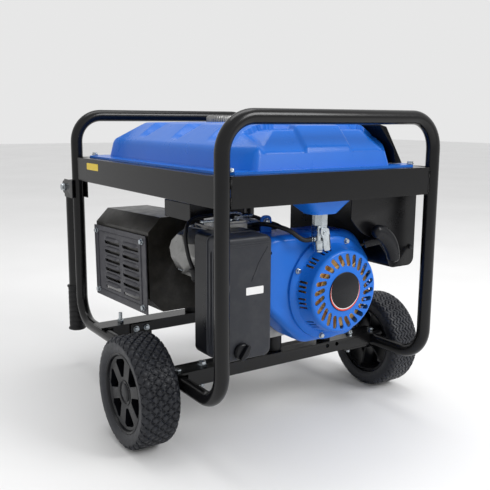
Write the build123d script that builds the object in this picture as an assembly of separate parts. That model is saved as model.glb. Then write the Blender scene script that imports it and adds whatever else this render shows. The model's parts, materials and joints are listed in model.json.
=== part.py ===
from build123d import *
import os
from math import cos, sin, radians, pi, sqrt

# Portable generator. Millimetres, +X to the right of the recoil face, +Y to the alternator end, +Z up.
# The origin is on the ground, under the middle of the whole object.

# Frame
tube_r = 12.7
wall = 1.5
leg_x = 232.5
frame_length = 612.0
top_z = 587.0
side_z = 122.0
bend_r = 58.0
handle_back = 38.0
flange_r = 20.0
overall_depth = tube_r + frame_length + handle_back + flange_r
front = tube_r - overall_depth / 2
rear = front + frame_length

# Wheels and axle
wheel_r = 101.6
wheel_width = 74.0
wheel_gap = 20.0
wheel_y = front + 193
rim_r = 73.0
axle_r = 6.0
play = 0.08

# Cross beams
beam_top = 139.0
beam_sheet = 4.0
beam_drop = 20.0
beam_deep = 44.0
front_beam_y = front + 133
rear_beam_y = front + 465

# Tank support rails and tank
rail_top = 496.0
rail_low = 445.5
rail_sheet = 2.5
rail_out = 6.0
rail_lip = 34.0
tank_sheet = 1.5
tank_base = rail_top + 4
tank_break = 530.0
tank_top = 573.0
tank_front = front + 30
tank_rear = front + 578
sump_x = 0.0
sump_y = front + 45
sump_low = 419.0
cap_xy = (0.0, front + 383)

# Engine and alternator
crank_x = 46.5
crank_z = 274.0
engine_low = 169.0
tilt = 18.0
bore_r = 34.0
stroke = 54.0
cylinder_y = front + 205
case_front = front + 141
case_rear = front + 285
shroud_front = front + 68
cover_face = front + 25
badge_r = 36.5
grip_r = 13.5
alternator_r = 95.0
alternator_end = front + 560


def block(x0, x1, y0, y1, z0, z1):
    """A box from its lowest to its highest corner."""
    return Pos((x0 + x1) / 2, (y0 + y1) / 2, (z0 + z1) / 2) * Box(x1 - x0, y1 - y0, z1 - z0)


def rod(start, end, radius):
    """A round bar between two points."""
    start, end = Vector(*start), Vector(*end)
    way = end - start
    return Solid.make_cylinder(radius, way.length, Plane(origin=start, z_dir=way))


def tube(start, end, radius, inside):
    return rod(start, end, radius) - rod(start, end, inside)


def hexagon(start, end, across):
    """A hexagon bar between two points, such as a nut or a bolt head."""
    start, end = Vector(*start), Vector(*end)
    plane = Plane(origin=start, z_dir=end - start)
    return extrude(plane * RegularPolygon(across / 2, 6, major_radius=False), (end - start).length)


def bolt(head, tip, radius, across, grip=None):
    """A hexagon flange bolt from the top of its head to its tip; grip adds a nut that far along."""
    head, tip = Vector(*head), Vector(*tip)
    way = (tip - head).normalized()
    low = head + way * radius * 1.3
    made = hexagon(head, low, across) + rod(low, low + way * 1.6, across * 0.68)
    made = made + rod(low + way * 1.6, tip, radius)
    if grip:
        start = head + way * grip
        made = made + hexagon(start, start + way * radius * 1.6, across)
    return made


def rounded_rect(x0, x1, y0, y1, z, radius):
    flat = Pos((x0 + x1) / 2, (y0 + y1) / 2, z) * RectangleRounded(x1 - x0, y1 - y0, radius)
    return flat


def both_sides(shape):
    """The shape and its mirror image across the middle of the frame."""
    return shape + mirror(shape, Plane.YZ)


def cylinder_point(along, across=0.0, y=cylinder_y):
    """A point in the slanted cylinder's own directions: outwards from the crank, and square to that."""
    return (
        crank_x - along * cos(radians(tilt)) + across * sin(radians(tilt)),
        y,
        crank_z + along * sin(radians(tilt)) + across * cos(radians(tilt)),
    )


def cylinder_block(along0, along1, across0, across1, y0, y1):
    """A box set square to the slanted cylinder."""
    middle = cylinder_point((along0 + along1) / 2, (across0 + across1) / 2, (y0 + y1) / 2)
    return Pos(*middle) * Rot(0, tilt, 0) * Box(along1 - along0, y1 - y0, across1 - across0)


# Frame ---------------------------------------------------------------------------------------


def hoop(plane_y, inwards):
    """One bent tube: half of both side tubes, two legs and the top tube between them."""
    meet = plane_y + inwards * frame_length / 2
    path = FilletPolyline(
        (-leg_x, meet, side_z),
        (-leg_x, plane_y, side_z),
        (-leg_x, plane_y, top_z),
        (leg_x, plane_y, top_z),
        (leg_x, plane_y, side_z),
        (leg_x, meet, side_z),
        radius=bend_r,
    )
    ring = Plane(origin=path @ 0, z_dir=path % 0) * (Circle(tube_r) - Circle(tube_r - wall))
    return sweep(ring, path=path)


def beam(near_y):
    """A channel laid over both side tubes, open below, with its flanges between the tubes."""
    far_y = near_y + beam_deep
    low = beam_top - beam_sheet
    inner = leg_x - tube_r - 0.3
    plate = block(-leg_x - 14, leg_x + 14, near_y, far_y, low, beam_top)
    near = block(-inner, inner, near_y, near_y + beam_sheet, low - beam_drop, low)
    back = block(-inner, inner, far_y - beam_sheet, far_y, low - beam_drop, low)
    return plate + near + back


def front_beam():
    made = beam(front_beam_y)
    for x in (102.5, 127.5):
        made = made - rod((x, front_beam_y - 1, 131), (x, front_beam_y + 6, 131), 4.5)
    for x in (-178.5, 178.5):
        made = made - rod((x, front_beam_y + 22, 100), (x, front_beam_y + 22, 150), 4.3)
    return made


def rear_beam():
    made = beam(rear_beam_y)
    for x in foot_bolt_x():
        made = made - rod((x, rear_beam_y - 1, 126), (x, rear_beam_y + 6, 126), 3.3)
    return made


def foot_bolt_x():
    return (-167.5, -142.5, 142.5, 167.5)


def axle_brackets():
    """Two folded plates bolted under the front beam; each carries the axle in a hole."""
    low = beam_top - beam_sheet - beam_drop
    foot = block(148, 210, front_beam_y, wheel_y + 14, low - 4.2, low - 0.2)
    foot = foot - rod((178.5, front_beam_y + 22, 90), (178.5, front_beam_y + 22, 150), 4.3)
    cheek = block(206, 210, wheel_y - 14, wheel_y + 14, wheel_r, low - 4.2)
    cheek = cheek + rod((206, wheel_y, wheel_r), (210, wheel_y, wheel_r), 14)
    cheek = cheek - rod((200, wheel_y, wheel_r), (216, wheel_y, wheel_r), axle_r + 0.05)
    return both_sides(foot + cheek)


def axle():
    """The round axle with a collar inside each wheel and a nut outside it."""
    inner = leg_x + wheel_gap
    end = inner + 58
    made = rod((-end, wheel_y, wheel_r), (end, wheel_y, wheel_r), axle_r)
    collar = rod((inner - 6, wheel_y, wheel_r), (inner - 1, wheel_y, wheel_r), 10)
    nut = hexagon((inner + 46.5, wheel_y, wheel_r), (inner + 56, wheel_y, wheel_r), 19)
    return made + both_sides(collar + nut)


def rim():
    """The right wheel's moulded rim: barrel, web with spokes, hub and pressed-on hub cap."""
    inner = leg_x + wheel_gap
    middle = inner + wheel_width / 2
    barrel = tube((inner + 8, wheel_y, wheel_r), (inner + 66, wheel_y, wheel_r), rim_r, rim_r - 5)
    hub = tube((inner, wheel_y, wheel_r), (inner + 46, wheel_y, wheel_r), 20, axle_r + play)
    web = tube((middle + 8, wheel_y, wheel_r), (middle + 22, wheel_y, wheel_r), rim_r - 4, 19)
    for i in range(6):
        gap = Pos(middle, wheel_y, wheel_r) * Rot(60 * i, 0, 0) * Pos(0, 0, 45)
        web = web - gap * Rot(0, 90, 0) * extrude(SlotOverall(34, 22), 30, both=True)
    cap = tube((inner + 46, wheel_y, wheel_r), (inner + 61, wheel_y, wheel_r), 21, 17)
    cap = cap + rod((inner + 61, wheel_y, wheel_r), (inner + 65, wheel_y, wheel_r), 21)
    return barrel + hub + web + cap


def tyre():
    """The right tyre: a round-shouldered ring seated on the rim."""
    inner = leg_x + wheel_gap
    middle = inner + wheel_width / 2
    with BuildSketch(Plane.XY) as profile:
        with Locations((0, (wheel_r + rim_r) / 2)):
            RectangleRounded(wheel_width, wheel_r - rim_r, 13)
        with Locations((0, rim_r + 6)):
            Rectangle(58, 12)
        with Locations((0, rim_r / 2)):
            Rectangle(wheel_width, rim_r, mode=Mode.SUBTRACT)
    ring = revolve(profile.sketch, Axis.X)
    return Pos(middle, wheel_y, wheel_r) * ring


def support_leg():
    """The right support leg: a channel bolted to the rear beam's front, with a foot plate."""
    near = rear_beam_y - 4.2
    plate = block(130, 180, near, near + 4, 16, 137)
    sides = block(130, 133, near + 4, near + 30, 16, 110) + block(177, 180, near + 4, near + 30, 16, 110)
    shoe = block(130, 180, near + 4, near + 30, 16, 20)
    leg = plate + sides + shoe
    for x in (142.5, 167.5):
        leg = leg - rod((x, near - 1, 126), (x, near + 6, 126), 3.3)
    return leg


def support_foot():
    near = rear_beam_y - 4.2
    return Pos(155, near + 15, 8) * Cylinder(19, 16)


# Fold-down handles ---------------------------------------------------------------------------

handle_y = rear + handle_back
handle_z = 427.0
handle_low = 89.0


def handle_bracket():
    """The right handle's fork: two cheeks beside the leg, joined by a saddle against its back."""
    back = rear + tube_r + 0.15
    made = block(leg_x - 18.6, leg_x + 18.6, back, back + 3, handle_z - 22, handle_z + 18)
    for x in (leg_x - 18.6, leg_x + 15.6):
        cheek = block(x, x + 3, rear - 12, handle_y, handle_z - 22, handle_z + 18)
        cheek = cheek + rod((x, handle_y, handle_z), (x + 3, handle_y, handle_z), 15)
        made = made + cheek
    pin = rod((leg_x - 30, handle_y, handle_z), (leg_x + 30, handle_y, handle_z), 4.05)
    return made - pin


def handle_bolt():
    return bolt((leg_x + 25.6, handle_y, handle_z), (leg_x - 27, handle_y, handle_z), 4, 13, 44.4)


def handle_tube():
    """The right handle hanging down behind its leg."""
    made = tube((leg_x, handle_y, handle_z + 13), (leg_x, handle_y, handle_low + 4), 15, 13)
    boss = rod((leg_x - 14.5, handle_y, handle_z), (leg_x + 14.5, handle_y, handle_z), 7)
    hole = rod((leg_x - 30, handle_y, handle_z), (leg_x + 30, handle_y, handle_z), 4 + play)
    return made + boss - hole


def grip():
    """The right handle's moulded grip with a collar above the hand and an end flange."""
    top = handle_low + 107
    made = rod((leg_x, handle_y, handle_low), (leg_x, handle_y, top), 17.5)
    made = made + rod((leg_x, handle_y, top - 4), (leg_x, handle_y, top), flange_r)
    made = made + rod((leg_x, handle_y, handle_low), (leg_x, handle_y, handle_low + 4), flange_r)
    return made - rod((leg_x, handle_y, handle_low + 4), (leg_x, handle_y, top + 1), 15)


# Tank rails and tank -------------------------------------------------------------------------


def end_rail(plane_y, inwards):
    """A plate between two legs with its top lip folded towards the tank."""
    span = leg_x - tube_r - 0.3
    out_y = plane_y - inwards * rail_out
    in_y = out_y + inwards * rail_sheet
    web = block(-span, span, min(out_y, in_y), max(out_y, in_y), rail_low, rail_top)
    lip_y = plane_y + inwards * rail_lip
    lip = block(-span, span, min(out_y, lip_y), max(out_y, lip_y), rail_top - rail_sheet, rail_top)
    made = web + lip
    for x in (-200.5, 200.5):
        y = plane_y + inwards * 32 * 0.8
        made = made - rod((x, y, rail_top - 6), (x, y, rail_top + 6), 3.4)
    return made


def side_rail(side):
    """A plate between the front and rear legs of one side, its lip short of the end rails."""
    out_x = side * (leg_x + rail_out)
    in_x = out_x - side * rail_sheet
    lip_x = side * (leg_x - rail_lip)
    gap = tube_r + 0.3
    web = block(min(out_x, in_x), max(out_x, in_x), front + gap, rear - gap, rail_low, rail_top)
    clear = rail_lip + 0.3
    x0, x1 = min(out_x, lip_x), max(out_x, lip_x)
    return web + block(x0, x1, front + clear, rear - clear, rail_top - rail_sheet, rail_top)


def tank_section(x0, x1, y0, y1, z):
    return rounded_rect(x0, x1, y0, y1, z, 22)


def tank_dome(inset):
    """The tank's upper form: a steep foot, long slopes and a flat top, shrunk by inset."""
    y0, y1 = tank_front + inset, tank_rear - inset
    foot = tank_section(-184.5 + inset, 184.5 - inset, y0, y1, tank_base)
    edge = tank_section(-178.5 + inset, 178.5 - inset, y0 + 8, y1 - 6, tank_break - inset * 0.5)
    crown = tank_section(-117.5 + inset, 142.5 - inset, y0 + 42, y1 - 48, tank_top - inset)
    return loft([foot, edge]) + loft([edge, crown])


def tank_flange(z0, z1):
    """The flat rim that both halves of the tank share, cut back at the legs."""
    x, y0, y1, cut = leg_x - 16, front + 16, rear - 16, 18
    outline = Polyline(
        (-x + cut, y0), (x - cut, y0), (x, y0 + cut), (x, y1 - cut),
        (x - cut, y1), (-x + cut, y1), (-x, y1 - cut), (-x, y0 + cut), close=True,
    )
    made = extrude(Pos(0, 0, z0) * make_face(outline), z1 - z0)
    for x, y in tank_bolt_places():
        made = made - rod((x, y, z0 - 1), (x, y, z1 + 1), 3.4)
    return made


def tank_bolt_places():
    return [(x, y) for x in (-200.5, 200.5) for y in (front + 25.6, rear - 25.6)]


def tank_upper():
    rim = tank_flange(tank_base - 2, tank_base)
    made = rim + tank_dome(0)
    cavity = tank_dome(tank_sheet)
    well = block(-170, 170, tank_front + 12, tank_rear - 12, tank_base - 3, tank_base + 6)
    made = made - cavity - well
    neck = tube((*cap_xy, tank_top - 8), (*cap_xy, tank_top + 7), 22, 20)
    return made - rod((*cap_xy, tank_top - 20), (*cap_xy, tank_top + 5), 20) + neck


def sump(inset):
    wide, narrow = 60 - inset, 27 - inset
    y0, y1 = sump_y - 37 + inset, sump_y + 60 - inset
    top = rounded_rect(sump_x - wide, sump_x + wide, y0, y1, 454, 14)
    y0, y1 = sump_y - 20 + inset, sump_y + 20 - inset
    low = rounded_rect(sump_x - narrow, sump_x + narrow, y0, y1, sump_low + inset, 12)
    return loft([top, low])


def tank_lower():
    """The lower pan with the sump bulge that holds the fuel cock."""
    pan = rounded_rect(-174, 174, tank_front + 8, tank_rear - 8, tank_base - 4, 20)
    floor = rounded_rect(-168, 168, tank_front + 14, tank_rear - 14, 452, 20)
    body = loft([pan, floor])
    inner_pan = rounded_rect(-172.5, 172.5, tank_front + 9.5, tank_rear - 9.5, tank_base - 1, 20)
    inner_floor = rounded_rect(-166.5, 166.5, tank_front + 15.5, tank_rear - 15.5, 453.5, 20)
    made = tank_flange(tank_base - 4, tank_base - 2) + body + sump(0)
    made = made - loft([inner_pan, inner_floor])
    low_in = Pos(sump_x, sump_y + 3, 455) * Box(80, 60, 8)
    made = made - sump(1.5) - low_in
    return made - rod((sump_x, sump_y, sump_low - 5), (sump_x, sump_y, sump_low + 5), 7)


def tank_bolts():
    made = None
    for x, y in tank_bolt_places():
        one = bolt((x, y, tank_base + 6.2), (x, y, rail_top - 14), 3, 10, 12.8)
        made = one if made is None else made + one
    return made


def fuel_cap():
    """The ribbed twist cap over the filler neck."""
    z = tank_top + 7.3
    made = Pos(*cap_xy, z + 4) * Cylinder(29, 8)
    skirt = tube((*cap_xy, z - 6.5), (*cap_xy, z), 29, 22.3)
    stem = rod((*cap_xy, z - 10), (*cap_xy, z), 19.7)
    return fillet(made.edges().group_by(Axis.Z)[-1], 3) + skirt + stem


# Fuel cock and hose --------------------------------------------------------------------------


def fuel_cock():
    """Hexagon union under the sump, valve body, sediment cup and hose spigot."""
    made = rod((sump_x, sump_y, 404), (sump_x, sump_y, sump_low + 8), 6.9)
    made = made + hexagon((sump_x, sump_y, 398), (sump_x, sump_y, sump_low - 0.2), 24)
    made = made + block(sump_x - 11, sump_x + 11, sump_y - 10, sump_y + 12, 370, 398)
    made = made + rod((sump_x, sump_y, 353), (sump_x, sump_y, 370), 11)
    made = made + rod((sump_x, sump_y, 349), (sump_x, sump_y, 353), 8)
    made = made + rod((sump_x - 24, sump_y, 374), (sump_x - 8, sump_y, 374), 3)
    return made - rod((sump_x, sump_y - 11, 385), (sump_x, sump_y - 2, 385), 4 + play)


def cock_lever():
    """The fuel cock's lever, which turns about the valve's axis."""
    y = sump_y - 11.5
    made = rod((sump_x, y - 3, 385), (sump_x, y + 7, 385), 4)
    made = made + rod((sump_x, y - 3, 385), (sump_x, y, 385), 8)
    return made + block(sump_x - 5, sump_x + 5, y - 3, y, 355, 385)


hose_r = 4.0
hose_route = (
    (sump_x - 12.5, sump_y, 374),
    (sump_x - 40, sump_y, 374),
    (sump_x - 60, sump_y + 14, 395),
    (sump_x - 77, sump_y + 44, 399),
    (sump_x - 80, sump_y + 74, 396),
    (sump_x - 82, sump_y + 94, 391),
    (sump_x - 103.5, sump_y + 94, 391),
)
lead_r = 3.5
lead_route = (
    (-206, front + 139, 325),
    (-214.5, front + 140, 351),
    (-212.5, front + 152, 384),
    (-192, front + 168, 405),
    (-152, front + 167, 411),
    (-112, front + 158, 412),
    (-80, front + 149, 408),
    (-60, front + 137, 399),
    (-57, front + 133, 381.5),
)


def corner_radii(route):
    """The largest radius that the two runs beside each corner allow."""
    points = [Vector(*p) for p in route]
    radii = []
    for a, b, c in zip(points, points[1:], points[2:]):
        turn = radians((b - a).get_angle(c - b))
        shorter = min((b - a).length, (c - b).length)
        radii.append(0.45 * shorter / max(0.05, sqrt((1 - cos(turn)) / (1 + cos(turn)))))
    return radii


def hose(route, outer, inner):
    path = FilletPolyline(*route, radius=corner_radii(route))
    section = Circle(outer) - Circle(inner) if inner else Circle(outer)
    return sweep(Plane(origin=path @ 0, z_dir=path % 0) * section, path=path)


def fuel_hose():
    return hose(hose_route, hose_r, 3.05)


def ignition_lead():
    return hose(lead_route, lead_r, 0)


# Engine --------------------------------------------------------------------------------------


def crankcase():
    """Crankcase and cylinder in one casting, with the crank chamber and the bore open inside."""
    y0, y1 = case_front, case_rear
    body = block(crank_x - 78, crank_x + 82, y0, y1, engine_low + 12, crank_z + 78)
    body = fillet(body.edges().filter_by(Axis.Y), 26)
    base = block(crank_x - 84, crank_x + 88, y0, y1, engine_low, engine_low + 30)
    barrel = cylinder_block(60, 165, -50, 50, cylinder_y - 52, cylinder_y + 50)
    made = body + base + barrel
    for along in (112, 124, 136, 148):
        ring = cylinder_block(along, along + 6, -60, 60, cylinder_y - 60, cylinder_y + 60)
        core = cylinder_block(along - 1, along + 7, -41, 41, cylinder_y - 41, cylinder_y + 41)
        made = made - (ring - core)
    chamber = rod((crank_x, y0 + 16, crank_z), (crank_x, y1 - 16, crank_z), 54)
    bore = rod(cylinder_point(30), cylinder_point(166), bore_r + 0.05)
    shaft = rod((crank_x, y0 - 1, crank_z), (crank_x, y1 + 1, crank_z), 15 + 0.06)
    return made - chamber - bore - shaft


def crankshaft():
    """Shaft with two counterweighted webs and the crank pin, running out to both ends."""
    made = rod((crank_x, front + 60, crank_z), (crank_x, case_front + 24, crank_z), 15)
    made = made + rod((crank_x, case_rear - 30, crank_z), (crank_x, alternator_end - 10, crank_z), 15)
    pin_x, _, pin_z = cylinder_point(stroke / 2)
    for y in (case_front + 24, case_rear - 44):
        made = made + rod((crank_x, y, crank_z), (crank_x, y + 14, crank_z), 44)
    return made + rod((pin_x, case_front + 30, pin_z), (pin_x, case_rear - 40, pin_z), 15)


def flywheel():
    """Flywheel with the fan's vanes on its front, keyed to the crankshaft."""
    y = shroud_front + 34
    made = rod((crank_x, y, crank_z), (crank_x, y + 26, crank_z), 72)
    made = made - rod((crank_x, y + 8, crank_z), (crank_x, y + 30, crank_z), 60)
    made = made + rod((crank_x, y + 8, crank_z), (crank_x, y + 30, crank_z), 24)
    for i in range(18):
        vane = Pos(0, -13, 60) * Box(2.4, 26.4, 20)
        made = made + Pos(crank_x, y, crank_z) * Rot(0, 20 * i, 0) * vane
    return made - rod((crank_x, y - 1, crank_z), (crank_x, y + 40, crank_z), 15.03)


def piston():
    """The piston at the top of its stroke, hollow below the crown, with its pin."""
    made = rod(cylinder_point(112), cylinder_point(158), bore_r)
    made = made - rod(cylinder_point(110), cylinder_point(148), bore_r - 6)
    y = cylinder_y
    pin_x, _, pin_z = cylinder_point(132)
    return made + rod((pin_x, y - 30, pin_z), (pin_x, y + 30, pin_z), 9)


def cylinder_head():
    """The head with two cooling slots and the plug's boss."""
    made = cylinder_block(165, 207, -50, 50, cylinder_y - 55, cylinder_y + 50)
    for across in (28, 38):
        made = made - cylinder_block(169, 201, across, across + 5, cylinder_y - 60, cylinder_y - 44)
    boss = cylinder_block(172, 202, -46, -22, cylinder_y - 75, cylinder_y - 54)
    made = made + boss
    return made - rod(plug_point(-10), plug_point(40), 6.05)


def plug_point(out):
    """A point on the spark plug's axis, which runs beside the valve cover."""
    return cylinder_point(185 + out, -34, front + 139)


def spark_plug():
    """The plug in the head and the rubber boot on it, bent up to meet the lead."""
    lead_start, lead_next = Vector(*lead_route[0]), Vector(*lead_route[1])
    elbow = lead_start - (lead_next - lead_start).normalized() * 18
    made = rod(plug_point(-6), plug_point(18), 6) + hexagon(plug_point(17.4), plug_point(24), 16)
    made = made + rod(plug_point(24), elbow, 8)
    made = made + Pos(*elbow) * Sphere(8)
    return made + rod(elbow, lead_start, 6.5)


def valve_cover():
    """The rocker cover: an eight-sided dome on a bolted flange."""
    flange = cylinder_block(207, 214, -46, 46, cylinder_y - 46, cylinder_y + 48)
    outwards = Vector(-cos(radians(tilt)), 0, sin(radians(tilt)))
    plane = Plane(origin=cylinder_point(214, 0, cylinder_y + 1), z_dir=outwards, x_dir=(0, 1, 0))
    wide = plane * RectangleRounded(84, 80, 18)
    tall = plane.offset(30) * RectangleRounded(80, 76, 18)
    lid = plane.offset(48) * RectangleRounded(52, 48, 10)
    dome = loft([wide, tall]) + loft([tall, lid])
    for across in (-40, 40):
        for y in (cylinder_y - 40, cylinder_y + 42):
            head = cylinder_point(221, across, y)
            flange = flange + bolt(head, cylinder_point(209, across, y), 3, 10)
    return flange + dome


def head_shield():
    """The black sheet cowl over the head, which turns the cooling air down."""
    x0, x1, y0, y1 = -182, -66, front + 190, front + 290
    made = block(x0, x1, y0, y1, 428, 431)
    made = made + block(x0, x0 + 3, y0, y1, 398, 428) + block(x0 + 3, x1, y0, y0 + 3, 404, 428)
    stay = block(x1 - 16, x1, y0 + 30, y0 + 33, 377.5, 428)
    return made + stay


def carburettor():
    """Body, bowl, and the linkage plate above it."""
    y0, y1 = front + 121, front + 149.8
    made = block(-150, -104, y0, y1, 352, 400)
    bowl = rod((-127, front + 135, 327), (-127, front + 135, 352), 13.5)
    top = block(-150, -104, y0 + 4, y0 + 24, 400, 404)
    spigot = rod((-104, front + 139, 391), (-96, front + 139, 391), 3)
    made = made + bowl + top + spigot
    return made - rod((-132.5, front + 135, 380), (-132.5, front + 135, 410), 2.5 + play)


def choke_lever():
    """The choke's spindle and its arm over the carburettor."""
    x, y = -132.5, front + 135
    made = rod((x, y, 384), (x, y, 408), 2.5)
    made = made + rod((x, y, 404.4), (x, y, 408), 7)
    return made + block(x - 58, x, y - 5, y + 5, 404.4, 408)


air_x0, air_x1 = -212.5, -108.0
air_z0, air_z1 = 179.0, 394.0
air_front, air_split, air_back = front + 35, front + 82, front + 120


def air_filter_base():
    made = block(air_x0, air_x1, air_split, air_back, air_z0, air_z1)
    made = fillet(made.edges().filter_by(Axis.Y), 14)
    hollow = block(air_x0 + 3, air_x1 - 3, air_split - 1, air_back - 3, air_z0 + 3, air_z1 - 3)
    made = made - fillet(hollow.edges().filter_by(Axis.Y), 11)
    port = rod((-122, air_back - 4, 376), (-122, air_back + 1, 376), 12)
    throat = rod((-122, air_back - 5, 376), (-122, air_back + 2, 376), 9)
    return made + port - throat


def air_filter_cover():
    made = block(air_x0, air_x1, air_front, air_split - 0.2, air_z0, air_z1)
    made = fillet(made.edges().filter_by(Axis.Y), 14)
    made = fillet(made.edges().group_by(Axis.Y)[0], 6)
    hollow = block(air_x0 + 3, air_x1 - 3, air_front + 3, air_split + 1, air_z0 + 3, air_z1 - 3)
    made = made - fillet(hollow.edges().filter_by(Axis.Y), 11)
    boss = rod((-172, air_front + 1, 198), (-172, air_split - 0.2, 198), 7)
    return made + boss - rod((-172, air_front - 1, 198), (-172, air_split + 1, 198), 3 + play)


def filter_element():
    y0, y1 = air_front + 12, air_split + 18
    pad = block(air_x0 + 12, air_x1 - 12, y0, y1, air_z0 + 50, air_z1 - 12)
    return pad - block(air_x0 + 28, air_x1 - 28, y0 + 8, y1 + 1, air_z0 + 66, air_z1 - 28)


def filter_knob():
    """The cover's round knob with its raised bar, on a screw."""
    y = air_front - 0.4
    made = rod((-172, y - 10, 198), (-172, y, 198), 15)
    made = made + Pos(-172, y - 12, 198) * Rot(0, 35, 0) * Box(7, 6, 29)
    return made + rod((-172, y, 198), (-172, air_split - 4, 198), 3)


def shroud_outline(inset):
    """The blower housing seen from the front: a scroll over the fan with a sloped lower left."""
    left, right, top, low = -102.5 + inset, 152.5 - inset, 379.0 - inset, 171.0 + inset
    slope = 52
    return make_face(Polyline(
        (left, top), (right - 46, top), (right, top - 62), (right, low + 62), (right - 40, low),
        (left + slope + 40, low), (left, low + slope + 30), close=True,
    ))


def blower_housing():
    """The sheet-metal cowl round the fan, open to the crankcase, with the recoil starter's hole."""
    y0, y1 = shroud_front, case_front - 0.6
    plane = Plane(origin=(0, y0, 0), x_dir=(1, 0, 0), z_dir=(0, -1, 0))
    shell = extrude(plane * shroud_outline(0), -(y1 - y0))
    shell = fillet(shell.edges().group_by(Axis.Y)[0], 7)
    inside = plane.offset(-2) * shroud_outline(2)
    made = shell - extrude(inside, -(y1 - y0))
    made = made - rod((crank_x, y0 - 1, crank_z), (crank_x, y0 + 6, crank_z), 80)
    ear = block(-72, -48, y1 - 16, y1 - 13, 378, 410)
    return made + ear


def recoil_cover():
    """The starter's cover: a slotted face, a slotted side wall and a wide base ring."""
    def dish(inset, y0):
        near = Plane(origin=(crank_x, y0, crank_z), z_dir=(0, 1, 0))
        depth = shroud_front - 6 - y0
        return loft([near * Circle(77 - inset), near.offset(depth) * Circle(86 - inset)])

    made = dish(0, cover_face)
    made = made + rod((crank_x, shroud_front - 6, crank_z), (crank_x, shroud_front - 0.2, crank_z), 97)
    cavity = dish(2, cover_face + 2)
    cavity = cavity + rod((crank_x, shroud_front - 7, crank_z), (crank_x, shroud_front + 1, crank_z), 84)
    made = made - cavity
    for i in range(24):
        place = Pos(crank_x, cover_face, crank_z) * Rot(0, 15 * i, 0) * Pos(0, 0, 57.5)
        turned = Rot(0, 18, 0) * Rot(90, 0, 0)
        made = made - place * turned * extrude(SlotOverall(24, 8.4, rotation=90), 6, both=True)
    for centre in (62, 90, 118, 205, 233, 300, 328):
        for step in (-6, 0, 6):
            cut = Rot(0, centre + step, 0) * Pos(0, (shroud_front - cover_face) / 2 - 1, 82)
            made = made - Pos(crank_x, cover_face, crank_z) * cut * Box(4.4, 18, 14)
    made = made + rod((crank_x, cover_face + 1, crank_z), (crank_x, cover_face + 28, crank_z), 6)
    lug = rod((crank_x + 46, front + 45, crank_z + 60), (crank_x + 60, front + 45, crank_z + 76), 10)
    lug = lug - rod((crank_x + 40, front + 45, crank_z + 53), (crank_x + 70, front + 45, crank_z + 87.4), 4.5)
    return made + lug


def recoil_badge():
    return rod((crank_x, cover_face - 1.6, crank_z), (crank_x, cover_face - 0.1, crank_z), badge_r)


def recoil_reel():
    """The rope reel under the cover, turning on the cover's post."""
    y = cover_face + 11
    made = rod((crank_x, y, crank_z), (crank_x, y + 14, crank_z), 48)
    groove = tube((crank_x, y + 3, crank_z), (crank_x, y + 11, crank_z), 49, 36)
    return made - groove - rod((crank_x, y - 1, crank_z), (crank_x, y + 15, crank_z), 6 + play)


def pull_handle():
    """The starter's T handle: a neck in the rope guide and a curved grip across it."""
    y = front + 24
    start, end = (crank_x + 64, front + 44.6, crank_z + 80.6), (crank_x + 96, y, crank_z + 90)
    made = rod(start, end, 7)
    arc = ThreePointArc(
        (crank_x + 71, y, crank_z + 105), (crank_x + 101, y, crank_z + 90), (crank_x + 118, y, crank_z + 57)
    )
    grip_bar = sweep(Plane(origin=arc @ 0, z_dir=arc % 0) * Circle(grip_r), path=arc)
    return made + grip_bar + Pos(*(arc @ 0)) * Sphere(grip_r) + Pos(*(arc @ 1)) * Sphere(grip_r)


# Alternator ----------------------------------------------------------------------------------


def alternator_housing():
    """Cast adaptor, wound stator ring and the feet that stand on the rear mounts."""
    y0, y1 = case_rear + 0.2, front + 505
    made = rod((crank_x, y0, crank_z), (crank_x, y0 + 22, crank_z), alternator_r + 3)
    made = made - rod((crank_x, y0 - 1, crank_z), (crank_x, y0 + 30, crank_z), 20)
    ring = tube((crank_x, y0 + 22, crank_z), (crank_x, y1, crank_z), alternator_r, 66)
    foot = block(crank_x - 78, crank_x + 78, rear_beam_y + 4, rear_beam_y + 40, engine_low, crank_z - 76)
    foot = foot - rod((crank_x, y0, crank_z), (crank_x, y1 + 9, crank_z), 80)
    return made + ring + foot


def alternator_end_cover():
    """The vented end bell, which holds the shaft's rear bearing."""
    y0, y1 = front + 505.2, alternator_end
    made = rod((crank_x, y0, crank_z), (crank_x, y1, crank_z), alternator_r - 3)
    made = fillet(made.edges().group_by(Axis.Y)[-1], 14)
    made = made - rod((crank_x, y0 - 1, crank_z), (crank_x, y1 - 4, crank_z), alternator_r - 8)
    for i in range(12):
        for reach in (48, 66):
            slot = Rot(0, 30 * i, 0) * Pos(0, 0, reach) * Rot(90, 0, 0) * SlotOverall(13, 6)
            made = made - Pos(crank_x, y1, crank_z) * extrude(slot, 6, both=True)
    seat = rod((crank_x, y1 - 22, crank_z), (crank_x, y1 - 3, crank_z), 26)
    return made + seat - rod((crank_x, y1 - 24, crank_z), (crank_x, y1 - 8, crank_z), 15.06)


def rotor():
    """The rotor's laminated core, keyed to the shaft inside the stator, with its rear bearing."""
    core = rod((crank_x, front + 335, crank_z), (crank_x, front + 480, crank_z), 64)
    core = core + rod((crank_x, front + 480, crank_z), (crank_x, front + 505, crank_z), 40)
    return core - rod((crank_x, front + 300, crank_z), (crank_x, front + 560, crank_z), 15)


def engine_mounts():
    """Four rubber blocks between the cross beams and the engine's and alternator's feet."""
    made = None
    for y in (front_beam_y + 22, rear_beam_y + 22):
        for x in (crank_x - 62, crank_x + 62):
            one = rod((x, y, beam_top), (x, y, engine_low), 14)
            made = one if made is None else made + one
    return made


# Muffler -------------------------------------------------------------------------------------

muffler_x0, muffler_x1 = -214.0, -84.0
muffler_y0, muffler_y1 = front + 305, front + 566
muffler_z0, muffler_z1 = 200.0, 388.0
muffler_lean = -2.0


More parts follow.
